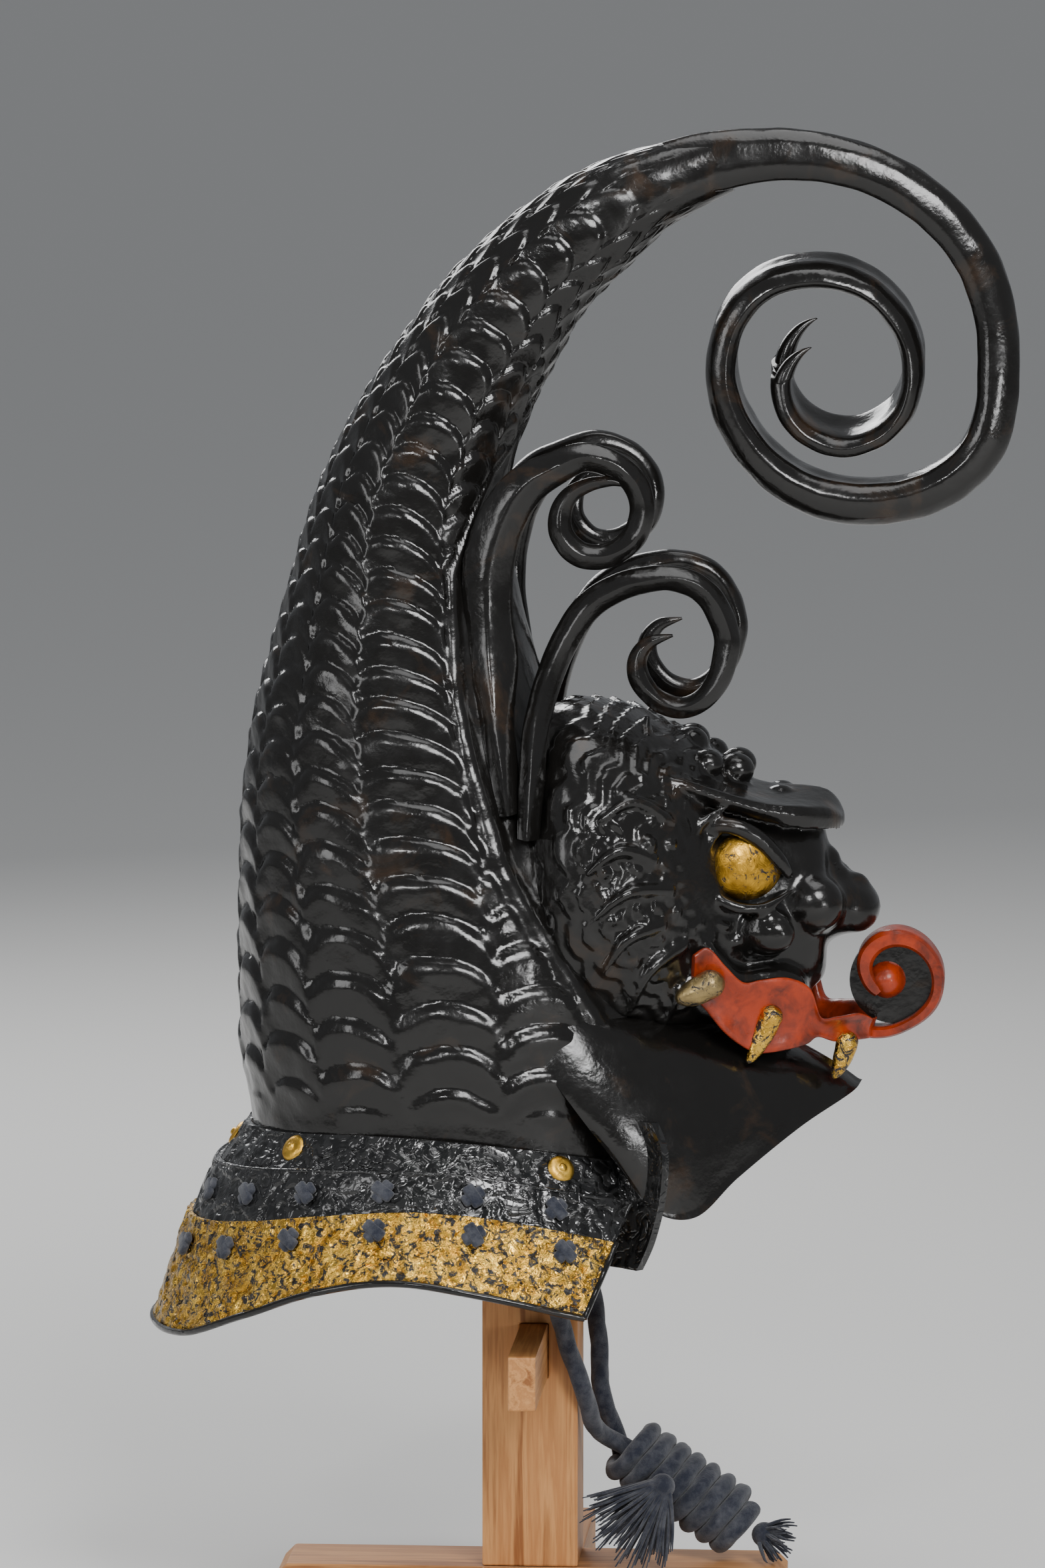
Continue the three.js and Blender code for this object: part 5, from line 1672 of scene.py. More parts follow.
    def ridges(self, side: int) -> list[Mesh]:
        """Return one side's eye rings, frills, temple ridge and studs.

        Args:
            side: -1 on the wearer's right, 1 on the left.

        Returns:
            The meshes.
        """
        made = []
        ex, ey, ez = self.eye
        for radius, thick, lift in self.ring_radii:
            points = []
            for k in range(9):
                angle = math.radians(mix(*self.ring_span, k / 8))
                x = ex + math.cos(angle) * radius
                y = side * (ey + (ex - x) * self.face_slope + lift)
                points.append((x, y, ez + math.sin(angle) * radius))
            made.append(
                Route(points, 2).tube(
                    10, lambda s, _, t=thick: t * (0.35 + 0.65 * math.sin(math.pi * s))
                )
            )
        for lid, size in EYE_LIDS:
            points = [(x, side * y, z) for x, y, z in lid]
            made.append(
                Route(points, 1.5).tube(
                    12, lambda s, _, t=size: t * (0.5 + 0.5 * math.sin(math.pi * s) ** 0.5)
                )
            )
        for start, middle, tip, thick in FRILLS:
            points = [
                self.on_cheek(*start, side, -1),
                self.on_cheek(*middle, side, 3.5),
                self.on_cheek(*tip, side, 4.5),
            ]
            made.append(Route(points, 2).tube(10, lambda s, _, t=thick: t * (1.05 - 0.9 * s**1.6)))
        spine = [(x, side * y, z) for x, y, z in TEMPLE_SPINE]
        made.append(Route(spine, 2).tube(10, lambda s, _: 2.2 + 1.4 * s))
        made.append(ball(self.on_cheek(59, 388, side, 1.5), self.temple_ball, parts=12))
        (x_least, x_most), (z_least, z_most) = self.stud_window
        for radius, first, last, size in self.stud_arcs:
            count = int(math.radians(last - first) * radius / self.stud_gap)
            for k in range(count + 1):
                angle = math.radians(mix(first, last, k / count))
                x, z = ex + math.cos(angle) * radius, ez + math.sin(angle) * radius
                if not x_least < x < x_most or not z_least < z < z_most:
                    continue
                r = size * self.stud_sizes[0 if (k + int(radius)) % 3 == 0 else 1]
                made.append(ball(self.on_cheek(x, z, side, 0.4), (r, r, r), parts=10))
        return made

    def face(self) -> list[Mesh]:
        """Return the muzzle, nose, nostrils, cheek bulbs and bumps.

        Returns:
            The meshes.
        """
        made = [ball(*row) for row in MUZZLE_BALLS]
        for _, side in BOTH_SIDES:
            for (x, y, z), radii, turn in (NOSTRIL, CHEEK):
                made.append(ball((x, side * y, z), radii, side * turn))
        for x, y, z, size in BRIDGE_BUMPS:
            for side in (-1, 1) if y else (1,):
                made.append(ball((x, side * y, z), (size, size, size * 0.9), parts=14))
        return made

    def soften_face(self, head: Piece) -> None:
        """Melt the nose, nostrils and cheeks into one rounded muzzle, away from the mane.

        Args:
            head: The head.
        """
        group = head.vertex_groups.new(name="face")
        for vertex in head.data.vertices:
            x, _, z = vertex.co / MM
            share = max(
                ease((x - back) / long) * ease((top - z) / deep)
                for back, long, top, deep in FACE_ZONES
            )
            if share > 0:
                group.add([vertex.index], share, "REPLACE")
        melt = head.modifiers.new("rounded", "SMOOTH")
        melt.vertex_group = group.name
        melt.factor = self.melt_share
        melt.iterations = self.face_melt
        reworked(head, SMOOTH_ALL)

    def build(self, finishes: Finishes, body: ScaledBody) -> list[Piece]:
        """Make the head and its eyes.

        Args:
            finishes: The shared finishes.
            body: The body that the head is cut to fit.

        Returns:
            The head and both eyes.
        """
        parts = [self.core(), self.brow(), self.jaw(), *self.face()]
        for _, side in BOTH_SIDES:
            parts += self.ridges(side)
        head = finished("dragon_head", gathered(parts), finishes.lacquer, ["dragon_head"])
        melt = head.modifiers.new("melt", "REMESH")
        melt.mode = "VOXEL"
        melt.voxel_size = self.voxel * MM
        relax = head.modifiers.new("relax", "SMOOTH")
        relax.factor = 0.5
        relax.iterations = 3
        reworked(head, SMOOTH_ALL)
        self.soften_face(head)
        carved(head, body.envelope(-self.body_overlap), SMOOTH_ALL)
        made = [head]
        for label, side in BOTH_SIDES:
            name = f"eye_{label}"
            x, y, z = self.eye
            bm = ball((x, side * y, z), self.eye_half, -side * self.eye_turn, 40)
            made.append(finished(name, bm, finishes.eye_gold, [name]))
        return made


# The mouth and visor

SCROLL_ROWS = (
    (205, 27.5, 2.9, 9.1),
    (160, 22, 2.6, 11.7),
    (110, 21.6, 2.9, 13),
    (55, 21.4, 3.3, 13),
    (0, 20.8, 4.2, 13),
    (-45, 17.6, 4.4, 12.6),
    (-90, 11.5, 4.0, 11),
    (-130, 8.4, 3.15, 9.8),
)
SCROLL_SECTION = (
    (1, -0.8),
    (0.6, -1.0),
    (-0.6, -1.0),
    (-1, -0.8),
    (-1, 0.8),
    (-0.6, 1.0),
    (0.6, 1.0),
    (1, 0.8),
)
FANG_ROWS = (
    ("fang_rear", 88.2, 62.5, 320.3, 16.0, 7.8, -0.85, -0.5, 3.0),
    ("fang_middle", 116.4, 45.8, 303, 24, 6.2, -0.35, -0.94, 1.7),
    ("fang_front", 151.9, 24.8, 288, 18, 5.9, -0.2, -0.98, 1.8),
)
VISOR_ROWS = (
    (0, 158, 0, 38.4),
    (15, 153.3, 16, 42.2),
    (35, 129.6, 38.6, 55.7),
    (55, 101.1, 60.5, 76.8),
    (72, 82.2, 75.6, 93.1),
    (88, 63.2, 84, 89.3),
    (104, 47.4, 86.5, 69.1),
)


@dataclass
class Mouth:
    """The red lip band, the scroll at its front and the gilt fangs."""

    lip_thick: float = 6.0
    lip_flare: float = 5.0
    lip_cove: float = 3.4
    lip_close: float = 0.035
    lip_powers: Row = (0.7, 0.6)
    lip_forward: float = 0.35
    lip_wave: float = 0.5
    scroll_centre: Row = (173.3, 315.0)
    bead_radius: float = 9.4
    bead_stretch: float = 1.3
    bead_back: float = 3.0
    web_radius: float = 21.0
    web_thick: float = 7.0
    fang_root: float = 0.85
    fang_bend: float = 2.5
    fang_slim: float = 0.9
    fang_wave: float = 0.25

    def lip(self) -> Mesh:
        """Return the band from one corner of the mouth round to the other.

        Returns:
            The mesh in metres.
        """
        last = len(LIP_ROWS) - 1

        def place(u: float, v: float) -> Vector:
            """Return a point of the band.

            Args:
                u: Share round.
                v: Share along.

            Returns:
                The point in millimetres.
            """
            half_way = 2 * v - 1
            side = -1 if half_way < 0 else 1
            p = (1 - abs(half_way)) * last
            x, y, top, foot = (smooth_read(LIP_ROWS, column, p) for column in range(4))
            if abs(half_way) < self.lip_close:
                y *= abs(half_way) / self.lip_close
            c, s = ring(u)
            up = math.copysign(abs(s) ** self.lip_powers[1], s)
            off = math.copysign(abs(c) ** self.lip_powers[0], c) * self.lip_thick / 2
            if c > 0:
                off -= self.lip_cove * (1 - up * up) * math.sin(math.pi * min(p / 2, 0.5))
            lean = self.lip_flare * (up + 1) / 2
            z = (top + foot) / 2 + up * (top - foot) / 2
            spot = Vector((x + self.lip_forward * (off + lean), side * (y + off + lean), z))
            return spot + Vector((0, side, 0)) * noise.noise(spot * 0.12) * self.lip_wave

        return skin(28, 240, place)

    def scroll(self) -> Mesh:
        """Return the rolled ribbon at the front.

        Returns:
            The mesh in metres.
        """
        last = len(SCROLL_ROWS) - 1

        def place(u: float, v: float) -> Vector:
            """Return a point of the ribbon.

            Args:
                u: Share round.
                v: Share along.

            Returns:
                The point in millimetres.
            """
            turn, reach, thick, wide = (
                smooth_read(SCROLL_ROWS, column, v * last) for column in range(4)
            )
            out, across = closed_read(SCROLL_SECTION, u)
            angle = math.radians(turn)
            far = reach + out * thick
            cx, cz = self.scroll_centre
            return Vector((cx + math.sin(angle) * far, across * wide, cz + math.cos(angle) * far))

        return skin(32, 120, place)

    def web(self) -> Mesh:
        """Return the dark disc inside the scroll.

        Returns:
            The mesh in metres.
        """
        cx, cz = self.scroll_centre
        disc = bmesh.new()
        upright = Matrix.Rotation(math.pi / 2, 4, "X")
        bmesh.ops.create_cone(
            disc,
            cap_ends=True,
            segments=48,
            radius1=self.web_radius * MM,
            radius2=self.web_radius * MM,
            depth=self.web_thick * MM,
            matrix=Matrix.Translation(Vector((cx, 0, cz)) * MM) @ upright,
        )
        return disc

    def bead(self) -> Mesh:
        """Return the red ball that the ribbon rolls up to.

        Returns:
            The mesh in metres.
        """
        cx, cz = self.scroll_centre
        r = self.bead_radius
        return ball((cx - self.bead_back, 0, cz), (r, r * self.bead_stretch, r), parts=32)

    def fang(self, row: Row, side: int) -> Mesh:
        """Return one fang, a curved cone from its root on the lip to a blunt tip.

        Args:
            row: Its row of FANG_ROWS.
            side: -1 on the wearer's right, 1 on the left.

        Returns:
            The mesh in metres.
        """
        _, x, y, z, length, girth, lean_x, lean_z, blunt = row
        root = self.fang_root * girth / length

        def place(u: float, v: float) -> Vector:
            """Return a point of the cone.

            Args:
                u: Share round.
                v: Share along.

            Returns:
                The point in millimetres.
            """
            v = mix(-root, 1.0, 0.5 - 0.5 * math.cos(math.pi * v))
            taper = abs(v) ** blunt if v > 0 else abs(v / root) ** 2
            size = girth * math.sqrt(max(1 - taper, 0.0))
            bend = self.fang_bend * v * abs(v)
            c, s = ring(u)
            spot = Vector((
                x + lean_x * length * v - lean_z * c * size * self.fang_slim - bend,
                side * (y + s * size * self.fang_slim + bend),
                z + lean_z * length * v + lean_x * c * size * self.fang_slim,
            ))
            rough = Vector((self.fang_wave, self.fang_wave, 0))
            return spot + rough * noise.noise(spot * 0.3) * size / girth

        return skin(24, 28, place)

    def build(self, finishes: Finishes) -> list[Piece]:
        """Make the lip, scroll and fangs.

        Args:
            finishes: The shared finishes.

        Returns:
            The pieces.
        """
        curl = [self.scroll(), self.bead()]
        made = [
            finished("mouth_lip", self.lip(), finishes.red, ["mouth_lip"], 60),
            finished("tongue_curl", gathered(curl), finishes.red, ["tongue_curl"], 40),
            finished("scroll_hollow", self.web(), finishes.lacquer),
        ]
        for row in FANG_ROWS:
            for label, side in BOTH_SIDES:
                name = f"{row[0]}_{label}"
                gold = finishes.worn_gold if row[0] == "fang_rear" else finishes.fang_gold
                made.append(finished(name, self.fang(row, side), gold, [name], 60))
        return made


@dataclass
class Visor:
    """The smooth black lower jaw that is the peak over the wearer's face."""

    thick: float = 4.0
    top_z: float = 304.0
    belly: float = 7.0
    edge_bead: float = 0.7
    bead_share: float = 0.03
    fall_power: float = 0.8
    root: Row = (6.0, 62.0, 84.0)
    front_thin: float = 0.8
    front_drop: float = 0.6
    face_share: float = 0.46
    edge_share: float = 0.08
    body_overlap: float = 1.5

    def point(self, share: float, down: float, inward: float) -> Vector:
        """Return a point of the shell.

        Args:
            share: -1 at the right end, 1 at the left.
            down: 0 at the root, 1 at the lower edge.
            inward: Depth under the outer face.

        Returns:
            The point in millimetres.
        """
        turn = VISOR_ROWS[-1][0] * abs(share)
        edge_x, edge_y, drop = (read_at(VISOR_ROWS, column, turn) for column in (1, 2, 3))
        angle = math.radians(turn)
        c, s = math.cos(angle), math.sin(angle)
        fall = down**self.fall_power
        out = math.sin(math.pi * down) * self.belly
        middle, half_long, half_wide = self.root
        x = mix(middle + half_long * c, edge_x, fall) + out * c - inward * c * self.front_thin
        y = mix(half_wide * s, edge_y, fall) + out * s - inward * s
        z = self.top_z - drop * down - inward * self.front_drop * c
        return Vector((x, math.copysign(y, share), z))

    def build(self, finishes: Finishes, body: ScaledBody) -> Piece:
        """Make the visor, cut to fit the body.

        Args:
            finishes: The shared finishes.
            body: The body that it is cut to fit.

        Returns:
            The piece.
        """

        def place(u: float, v: float) -> Vector:
            """Return a point of the shell's outer face, edge or inner face.

            Args:
                u: Share round.
                v: Share along.

            Returns:
                The point in millimetres.
            """
            p = u % 1.0
            if p < self.face_share:
                down, deep = p / self.face_share, 0.0
            elif p < 1 - self.face_share:
                down, deep = 1.0, (p - self.face_share) / self.edge_share
            else:
                down, deep = (1 - p) / self.face_share, 1.0
            bead = ease((down - (1 - self.bead_share)) / self.bead_share) * self.edge_bead
            return self.point(2 * v - 1, down, deep * self.thick - bead * (1 - 2 * deep))

        bm = skin(100, 180, place)
        visor = finished("visor", bm, finishes.lacquer, ["visor"])
        carved(visor, body.envelope(-self.body_overlap), 40)
        return visor


# The neck guard

GUARD_LEVELS = (
    (0.0, 146.0, ((0, 0.07), (40, 0.03), (70, 0.0), (90, 0.015), (110, 0.06), (146, 0.18))),
    (
        0.29,
        132.0,
        ((0, 0.245), (35, 0.2), (60, 0.155), (80, 0.14), (95, 0.16), (115, 0.235), (132, 0.315)),
    ),
    (
        0.56,
        124.0,
        (
            (0, 0.49),
            (25, 0.47),
            (45, 0.415),
            (60, 0.36),
            (80, 0.31),
            (95, 0.325),
            (110, 0.39),
            (124, 0.47),
        ),
    ),
    (
        1.0,
        114.0,
        ((0, 1.0), (30, 0.985), (50, 0.83), (65, 0.69), (80, 0.62), (95, 0.67), (114, 0.79)),
    ),
)
RIVET_PLACES = (
    ("rivet_back", 0.0),
    ("rivet_side_right", -0.33),
    ("rivet_side_left", 0.33),
    ("rivet_front_right", -0.83),
    ("rivet_front_left", 0.83),
)
LACE_ROWS = (("middle", 1.5, 1, 128.0), ("bottom", 2.24, 2, 121.5))
LACE_TURNS = (20.0, 39.0, 57.0, 75.5, 94.5, 112.0)
FLANGE_ROWS = ((0.0, 50, 0.85), (0.2, 56, 0.95), (0.5, 61, 1.0), (0.8, 62, 0.95), (1.0, 57, 0.7))
RIVET_PROFILE = (
    (0, 1.0),
    (0.15, 0.97),
    (0.25, 0.86),
    (0.29, 0.62),
    (0.34, 0.58),
    (0.5, 0.6),
    (0.68, 0.55),
    (0.84, 0.42),
    (0.95, 0.24),
    (1.0, 0.08),
    (0.95, 0.0),
    (0, 0.0),
)


@dataclass
class NeckGuard:
    """Three plates round the back and sides, with their rims, rivets and lacing."""

    centre_x: float = -30.0
    half_length: float = 106.0
    half_width: float = 100.0
    flare: float = 39.0
    top_z: float = 251.0
    drop: float = 102.0
    thick: float = 2.6
    step: float = 3.4
    flange_width: float = 16.0
    flange_height: float = 70.0
    flange_lift: float = 7.0
    side_flare: float = 0.8
    turn_share: float = 0.03
    end: float = 0.998
    rim_radius: float = 1.0
    foot_rim_radius: float = 1.7
    end_rim_radius: float = 1.5
    rim_parts: int = 120
    end_parts: int = 8
    seat_lift: float = 0.2
    rivet_level: float = 0.42
    rivet_radius: float = 6.7
    rivet_height: float = 3.4
    rivet_sides: int = 28
    lace_size: float = 9.0
    lace_shares: Row = (1.28, 0.66)
    lace_thick: float = 3.4
    lace_round: float = 1.4
    lace_lift: float = 1.2
    lace_bars: tuple[Row, ...] = ((45.0, 0.0), (-45.0, 0.9))
    around: int = 430
    down: int = 38

    def point(self, along: float, level: float, out: float) -> Vector:
        """Return a point of the guard.

        Args:
            along: -1 at the right end, 1 at the left.
            level: 0 at the top edge, 3 at the lowest.
            out: Distance out from the top plate's inner face.

        Returns:
            The point in millimetres.
        """
        i = min(max(int(level), 0), len(GUARD_LEVELS) - 2)
        ends = []
        for reach_share, end, drops in GUARD_LEVELS[i : i + 2]:
            turn = abs(along) * end
            angle = math.radians(turn)
            reach = reach_share * self.flare + out
            ends.append(Vector((
                self.centre_x - math.cos(angle) * (self.half_length + reach),
                math.copysign(math.sin(angle) * (self.half_width + reach * self.side_flare), along),
                self.top_z - read_at(drops, 1, turn) * self.drop,
            )))
        return ends[0].lerp(ends[1], level - i)

    def wrinkles(self, spot: Vector) -> float:
        """Return the height of the worm-like wrinkles in the black plates' lacquer."""
        bent = spot * 0.165 + noise.noise_vector(spot * 0.08) * 1.3
        return 1.05 * ease((noise.noise(bent) + 0.16) / 0.3) + 0.4 * noise.noise(spot * 0.06)

    def dents(self, spot: Vector) -> float:
        """Return the height of the gilt plate's crumpled skin, with its pits.

        Args:
            spot: The place on the plate.

        Returns:
            The height in millimetres.
        """
        broad = 1.1 * noise.noise(spot * 0.07) + 0.8 * noise.noise(spot * 0.17)
        bent = spot * 0.27 + noise.noise_vector(spot * 0.12)
        return broad - 1.3 * ease((noise.noise(bent) - 0.1) / 0.22)

    def plate(
        self, first: float, last: float, order: int, relief: Callable[[Vector], float]
    ) -> Mesh:
        """Return one plate, from one level to another.

        Args:
            first: Level of its upper edge.
            last: Level of its lower edge.
            order: 0 for the top plate, 2 for the lowest.
            relief: Height of its skin at a place.

        Returns:
            The mesh in metres.
        """
        base = order * self.step
        face = 1 - self.turn_share

        def place(u: float, v: float) -> Vector:
            """Return a point of the outer face, an edge or the inner face.

            Args:
                u: Share round.
                v: Share along.

            Returns:
                The point in millimetres.
            """
            p = (u % 1.0) * 2
            outer = p < 1
            p %= 1.0
            down = p / face if p < face else 1.0
            turn_in = max(0.0, (p - face) / self.turn_share)
            share = down if outer else 1 - down
            deep = turn_in if outer else 1 - turn_in
            along = 2 * v - 1
            level = mix(first, last, share)
            spot = self.point(along, level, base + self.thick * (1 - deep))
            if outer:
                outward = (spot - Vector((self.centre_x, 0, spot.z))).normalized()
                spot += outward * relief(spot) * (1 - deep)
            return spot

        return skin(self.down * 2, self.around, place)

    def flange(self, side: int) -> Mesh:
        """Return the top plate's front end, which stands up and turns out beside the visor.

        Args:
            side: -1 on the wearer's right, 1 on the left.

        Returns:
            The mesh in metres.
        """
        last = len(FLANGE_ROWS) - 1
        foot = self.top_z + self.flange_lift - self.flange_height
        y = abs(self.point(side * 0.985, 0.6, 0).y)
        wide = self.flange_width

        def place(u: float, v: float) -> Vector:
            """Return a point of the flange.

            Args:
                u: Share round.
                v: Share along.

            Returns:
                The point in millimetres.
            """
            up, x, out = (smooth_read(FLANGE_ROWS, column, v * last) for column in range(3))
            plan = (
                (x - 17, y - 1),
                (x - 8, y + 2),
                (x + 1, y + wide * 0.5),
                (x + 8, y + wide * out + 3),
                (x + 5, y + wide * out + 6),
                (x - 3, y + wide * 0.5 + 4),
                (x - 10, y + 7),
                (x - 17, y + 3),
            )
            across = closed_read(plan, u)
            return Vector((across[0], side * across[1], foot + up * self.flange_height))

        return skin(48, 60, place)

    def rim(self, route: Sequence[Row], radius: float) -> Mesh:
        """Return a thin raised rim along an edge."""
        return Route(route, 2.5).tube(8, lambda _s, _a: radius)

    def level_line(self, level: float, order: int) -> list[Row]:
        """Return points along a level line on a plate's outer face.

        Args:
            level: Level on the guard.
            order: Which plate.

        Returns:
            The points.
        """
        out = order * self.step + self.thick
        shares = [k / self.rim_parts for k in range(self.rim_parts + 1)]
        return [tuple(self.point(mix(-self.end, self.end, share), level, out)) for share in shares]

    def end_line(self, side: int, first: float, last: float, order: int) -> list[Row]:
        """Return points down the front end of a plate.

        Args:
            side: -1 on the wearer's right, 1 on the left.
            first: Level at its top.
            last: Level at its foot.
            order: Which plate.

        Returns:
            The points.
        """
        out = order * self.step + self.thick
        levels = [mix(first, last, k / self.end_parts) for k in range(self.end_parts + 1)]
        return [tuple(self.point(side * self.end, level, out)) for level in levels]

    def seat(self, along: float, level: float, order: int) -> Matrix:
        """Return the place of a piece on a plate, its Z out of the plate.

        Args:
            along: -1 at the right end, 1 at the left.
            level: Level on the guard.
            order: Which plate.

        Returns:
            The matrix in metres.
        """
        out = order * self.step + self.thick
        at = self.point(along, level, out)
        ahead, behind = (self.point(along + step, level, out) for step in (0.01, -0.01))
        below, above = (self.point(along, level + step, out) for step in (0.1, -0.1))
        across = (ahead - behind).normalized()
        down = (below - above).normalized()
        outward = down.cross(across).normalized()
        if outward.dot(at - Vector((self.centre_x, 0, at.z))) < 0:
            outward.negate()
        up = outward.cross(across).normalized()
        across = up.cross(outward)
        turned = Matrix((across, up, outward)).transposed().to_4x4()
        return Matrix.Translation((at + outward * self.seat_lift) * MM) @ turned

    def rivet(self, seat: Matrix) -> Mesh:
        """Return a dished washer with a pin's dome in its middle.

        Args:
            seat: Its place on the plate.

        Returns:
            The mesh in metres.
        """
        r, h = self.rivet_radius * MM, self.rivet_height * MM
        bm = bmesh.new()
        verts = [bm.verts.new((share * r, 0, up * h)) for share, up in RIVET_PROFILE]
        edges = [bm.edges.new(pair) for pair in zip(verts, verts[1:])]
        bmesh.ops.spin(
            bm,
            geom=verts + edges,
            cent=(0, 0, 0),
            axis=(0, 0, 1),
            dvec=(0, 0, 0),
            angle=FULL_TURN,
            steps=self.rivet_sides,
            use_merge=True,
        )
        bmesh.ops.remove_doubles(bm, verts=bm.verts, dist=MERGE)
        bmesh.ops.recalc_face_normals(bm, faces=bm.faces)
        bmesh.ops.transform(bm, matrix=seat, verts=bm.verts)
        return bm

    def knot(self, seat: Matrix, tilt: float) -> list[Mesh]:
        """Return a crossed knot of lacing: two plump bars at right angles.

        Args:
            seat: Its place on the plate.
            tilt: Degrees that it is turned.

        Returns:
            The two meshes.
        """
        bars = []
        for turn, lift in self.lace_bars:
            bar = bmesh.new()
            bmesh.ops.create_cube(bar, size=1.0)
            long, wide = (self.lace_size * share for share in self.lace_shares)
            size = Vector((long, wide, self.lace_thick)) * MM
            bmesh.ops.scale(bar, vec=size, verts=bar.verts)
            bmesh.ops.bevel(
                bar,
                geom=bar.edges[:],
                offset=self.lace_round * MM,
                offset_type="OFFSET",
                segments=3,
                profile=0.5,
                affect="EDGES",
                material=-1,
            )
            place = seat @ Matrix.Translation((0, 0, (self.lace_lift + lift) * MM))
            place = place @ Matrix.Rotation(math.radians(turn + tilt), 4, "Z")
            bmesh.ops.transform(bar, matrix=place, verts=bar.verts)
            bars.append(bar)
        return bars

    def build(self, finishes: Finishes) -> list[Piece]:
        """Make the plates, rims, rivets and lacing.

        Args:
            finishes: The shared finishes.

        Returns:
            The pieces.
        """
        top = [self.plate(0, 1.35, 0, self.wrinkles), self.flange(-1), self.flange(1)]
        middle = [
            self.plate(1, 2.3, 1, self.wrinkles),
            self.rim(self.level_line(1.02, 1), self.rim_radius),
        ]
        edge = [self.rim(self.level_line(2.985, 2), self.foot_rim_radius)]
        for _, side in BOTH_SIDES:
            middle.append(self.rim(self.end_line(side, 1.02, 2.28, 1), self.rim_radius))
            edge.append(self.rim(self.end_line(side, 2.0, 2.985, 2), self.end_rim_radius))
        made = []
        for name, bm, finish in (
            ("neck_plate_top", gathered(top), finishes.wrinkled),
            ("neck_plate_middle", gathered(middle), finishes.wrinkled),
            ("neck_plate_bottom", self.plate(2, 3, 2, self.dents), finishes.plate_gold),
        ):
            made.append(finished(name, bm, finish, [name]))
        made.append(finished("neck_plate_edge", gathered(edge), finishes.lacquer))
        names = [name for name, _ in RIVET_PLACES]
        rivets = [self.rivet(self.seat(along, self.rivet_level, 0)) for _, along in RIVET_PLACES]
        made.append(finished("guard_rivets", gathered(rivets), finishes.rivet_gold, names, 50))
        knots, names = [], []
        for label, level, order, reach in LACE_ROWS:
            for side_name, side in BOTH_SIDES:
                for k, turn in enumerate(LACE_TURNS):
                    seat = self.seat(side * turn / reach, level, order)
                    knots += self.knot(seat, 9 * math.sin(2.3 * k + order))
                    names.append(f"lacing_{label}_{side_name}_{k + 1}")
        made.append(finished("guard_lacing", gathered(knots), finishes.cord, names, 60))
        return made


# The stand and the chin cord

STAND_BOARDS = (
    ("stand_base_long", Grain.ALONG_X),
    ("stand_base_cross", Grain.ALONG_Y),
    ("stand_post", Grain.UPRIGHT),
    ("stand_peg", Grain.ALONG_Y),
)


@dataclass
class Stand:
    """The plain pine stand, whose boards are the frame's own with eased edges."""

    edge: float = 0.9
    weld: float = 0.01
    edge_turn: float = 30.0

    def build(self, nodes: dict[str, Piece]) -> None:
        """Dress the frame's boards.

        Args:
            nodes: The frame's nodes by name.
        """
        made: dict[Grain, Material] = {}
        for name, grain in STAND_BOARDS:
            board = nodes[name]
            if grain not in made:
                made[grain] = Pine(grain).build()
            board.data.materials.clear()
            board.data.materials.append(made[grain])
            weld = board.modifiers.new("weld", "WELD")
            weld.merge_threshold = self.weld * MM
            bevel = board.modifiers.new("eased", "BEVEL")
            bevel.width = self.edge * MM
            bevel.segments = 2
            bevel.limit_method = "ANGLE"
            bevel.angle_limit = math.radians(self.edge_turn)
            LOG.info("%s dressed as pine", name)


RIGHT_STRAND = (
    (15, -83, 235.5),
    (15, -83, 226),
    (15, -80.5, 212),
    (14.5, -73, 196),
    (14, -61, 180),
    (14.5, -47, 164),
    (17, -36, 148),
    (21, -30.5, 133),
    (26, -28.5, 119),
    (28.5, -22, 107),
    (31, -12.5, 97),
    (36, -4.5, 91),
)
LEFT_STRAND = (
    (15, 83, 235.5),
    (15, 83, 226),
    (15.5, 80.5, 212),
    (17, 73, 197),
    (19.5, 62, 182),
    (23, 49, 167),
    (27, 36, 152),
    (30, 24, 137),
    (31.5, 17, 121),
    (32.5, 13, 109),
)


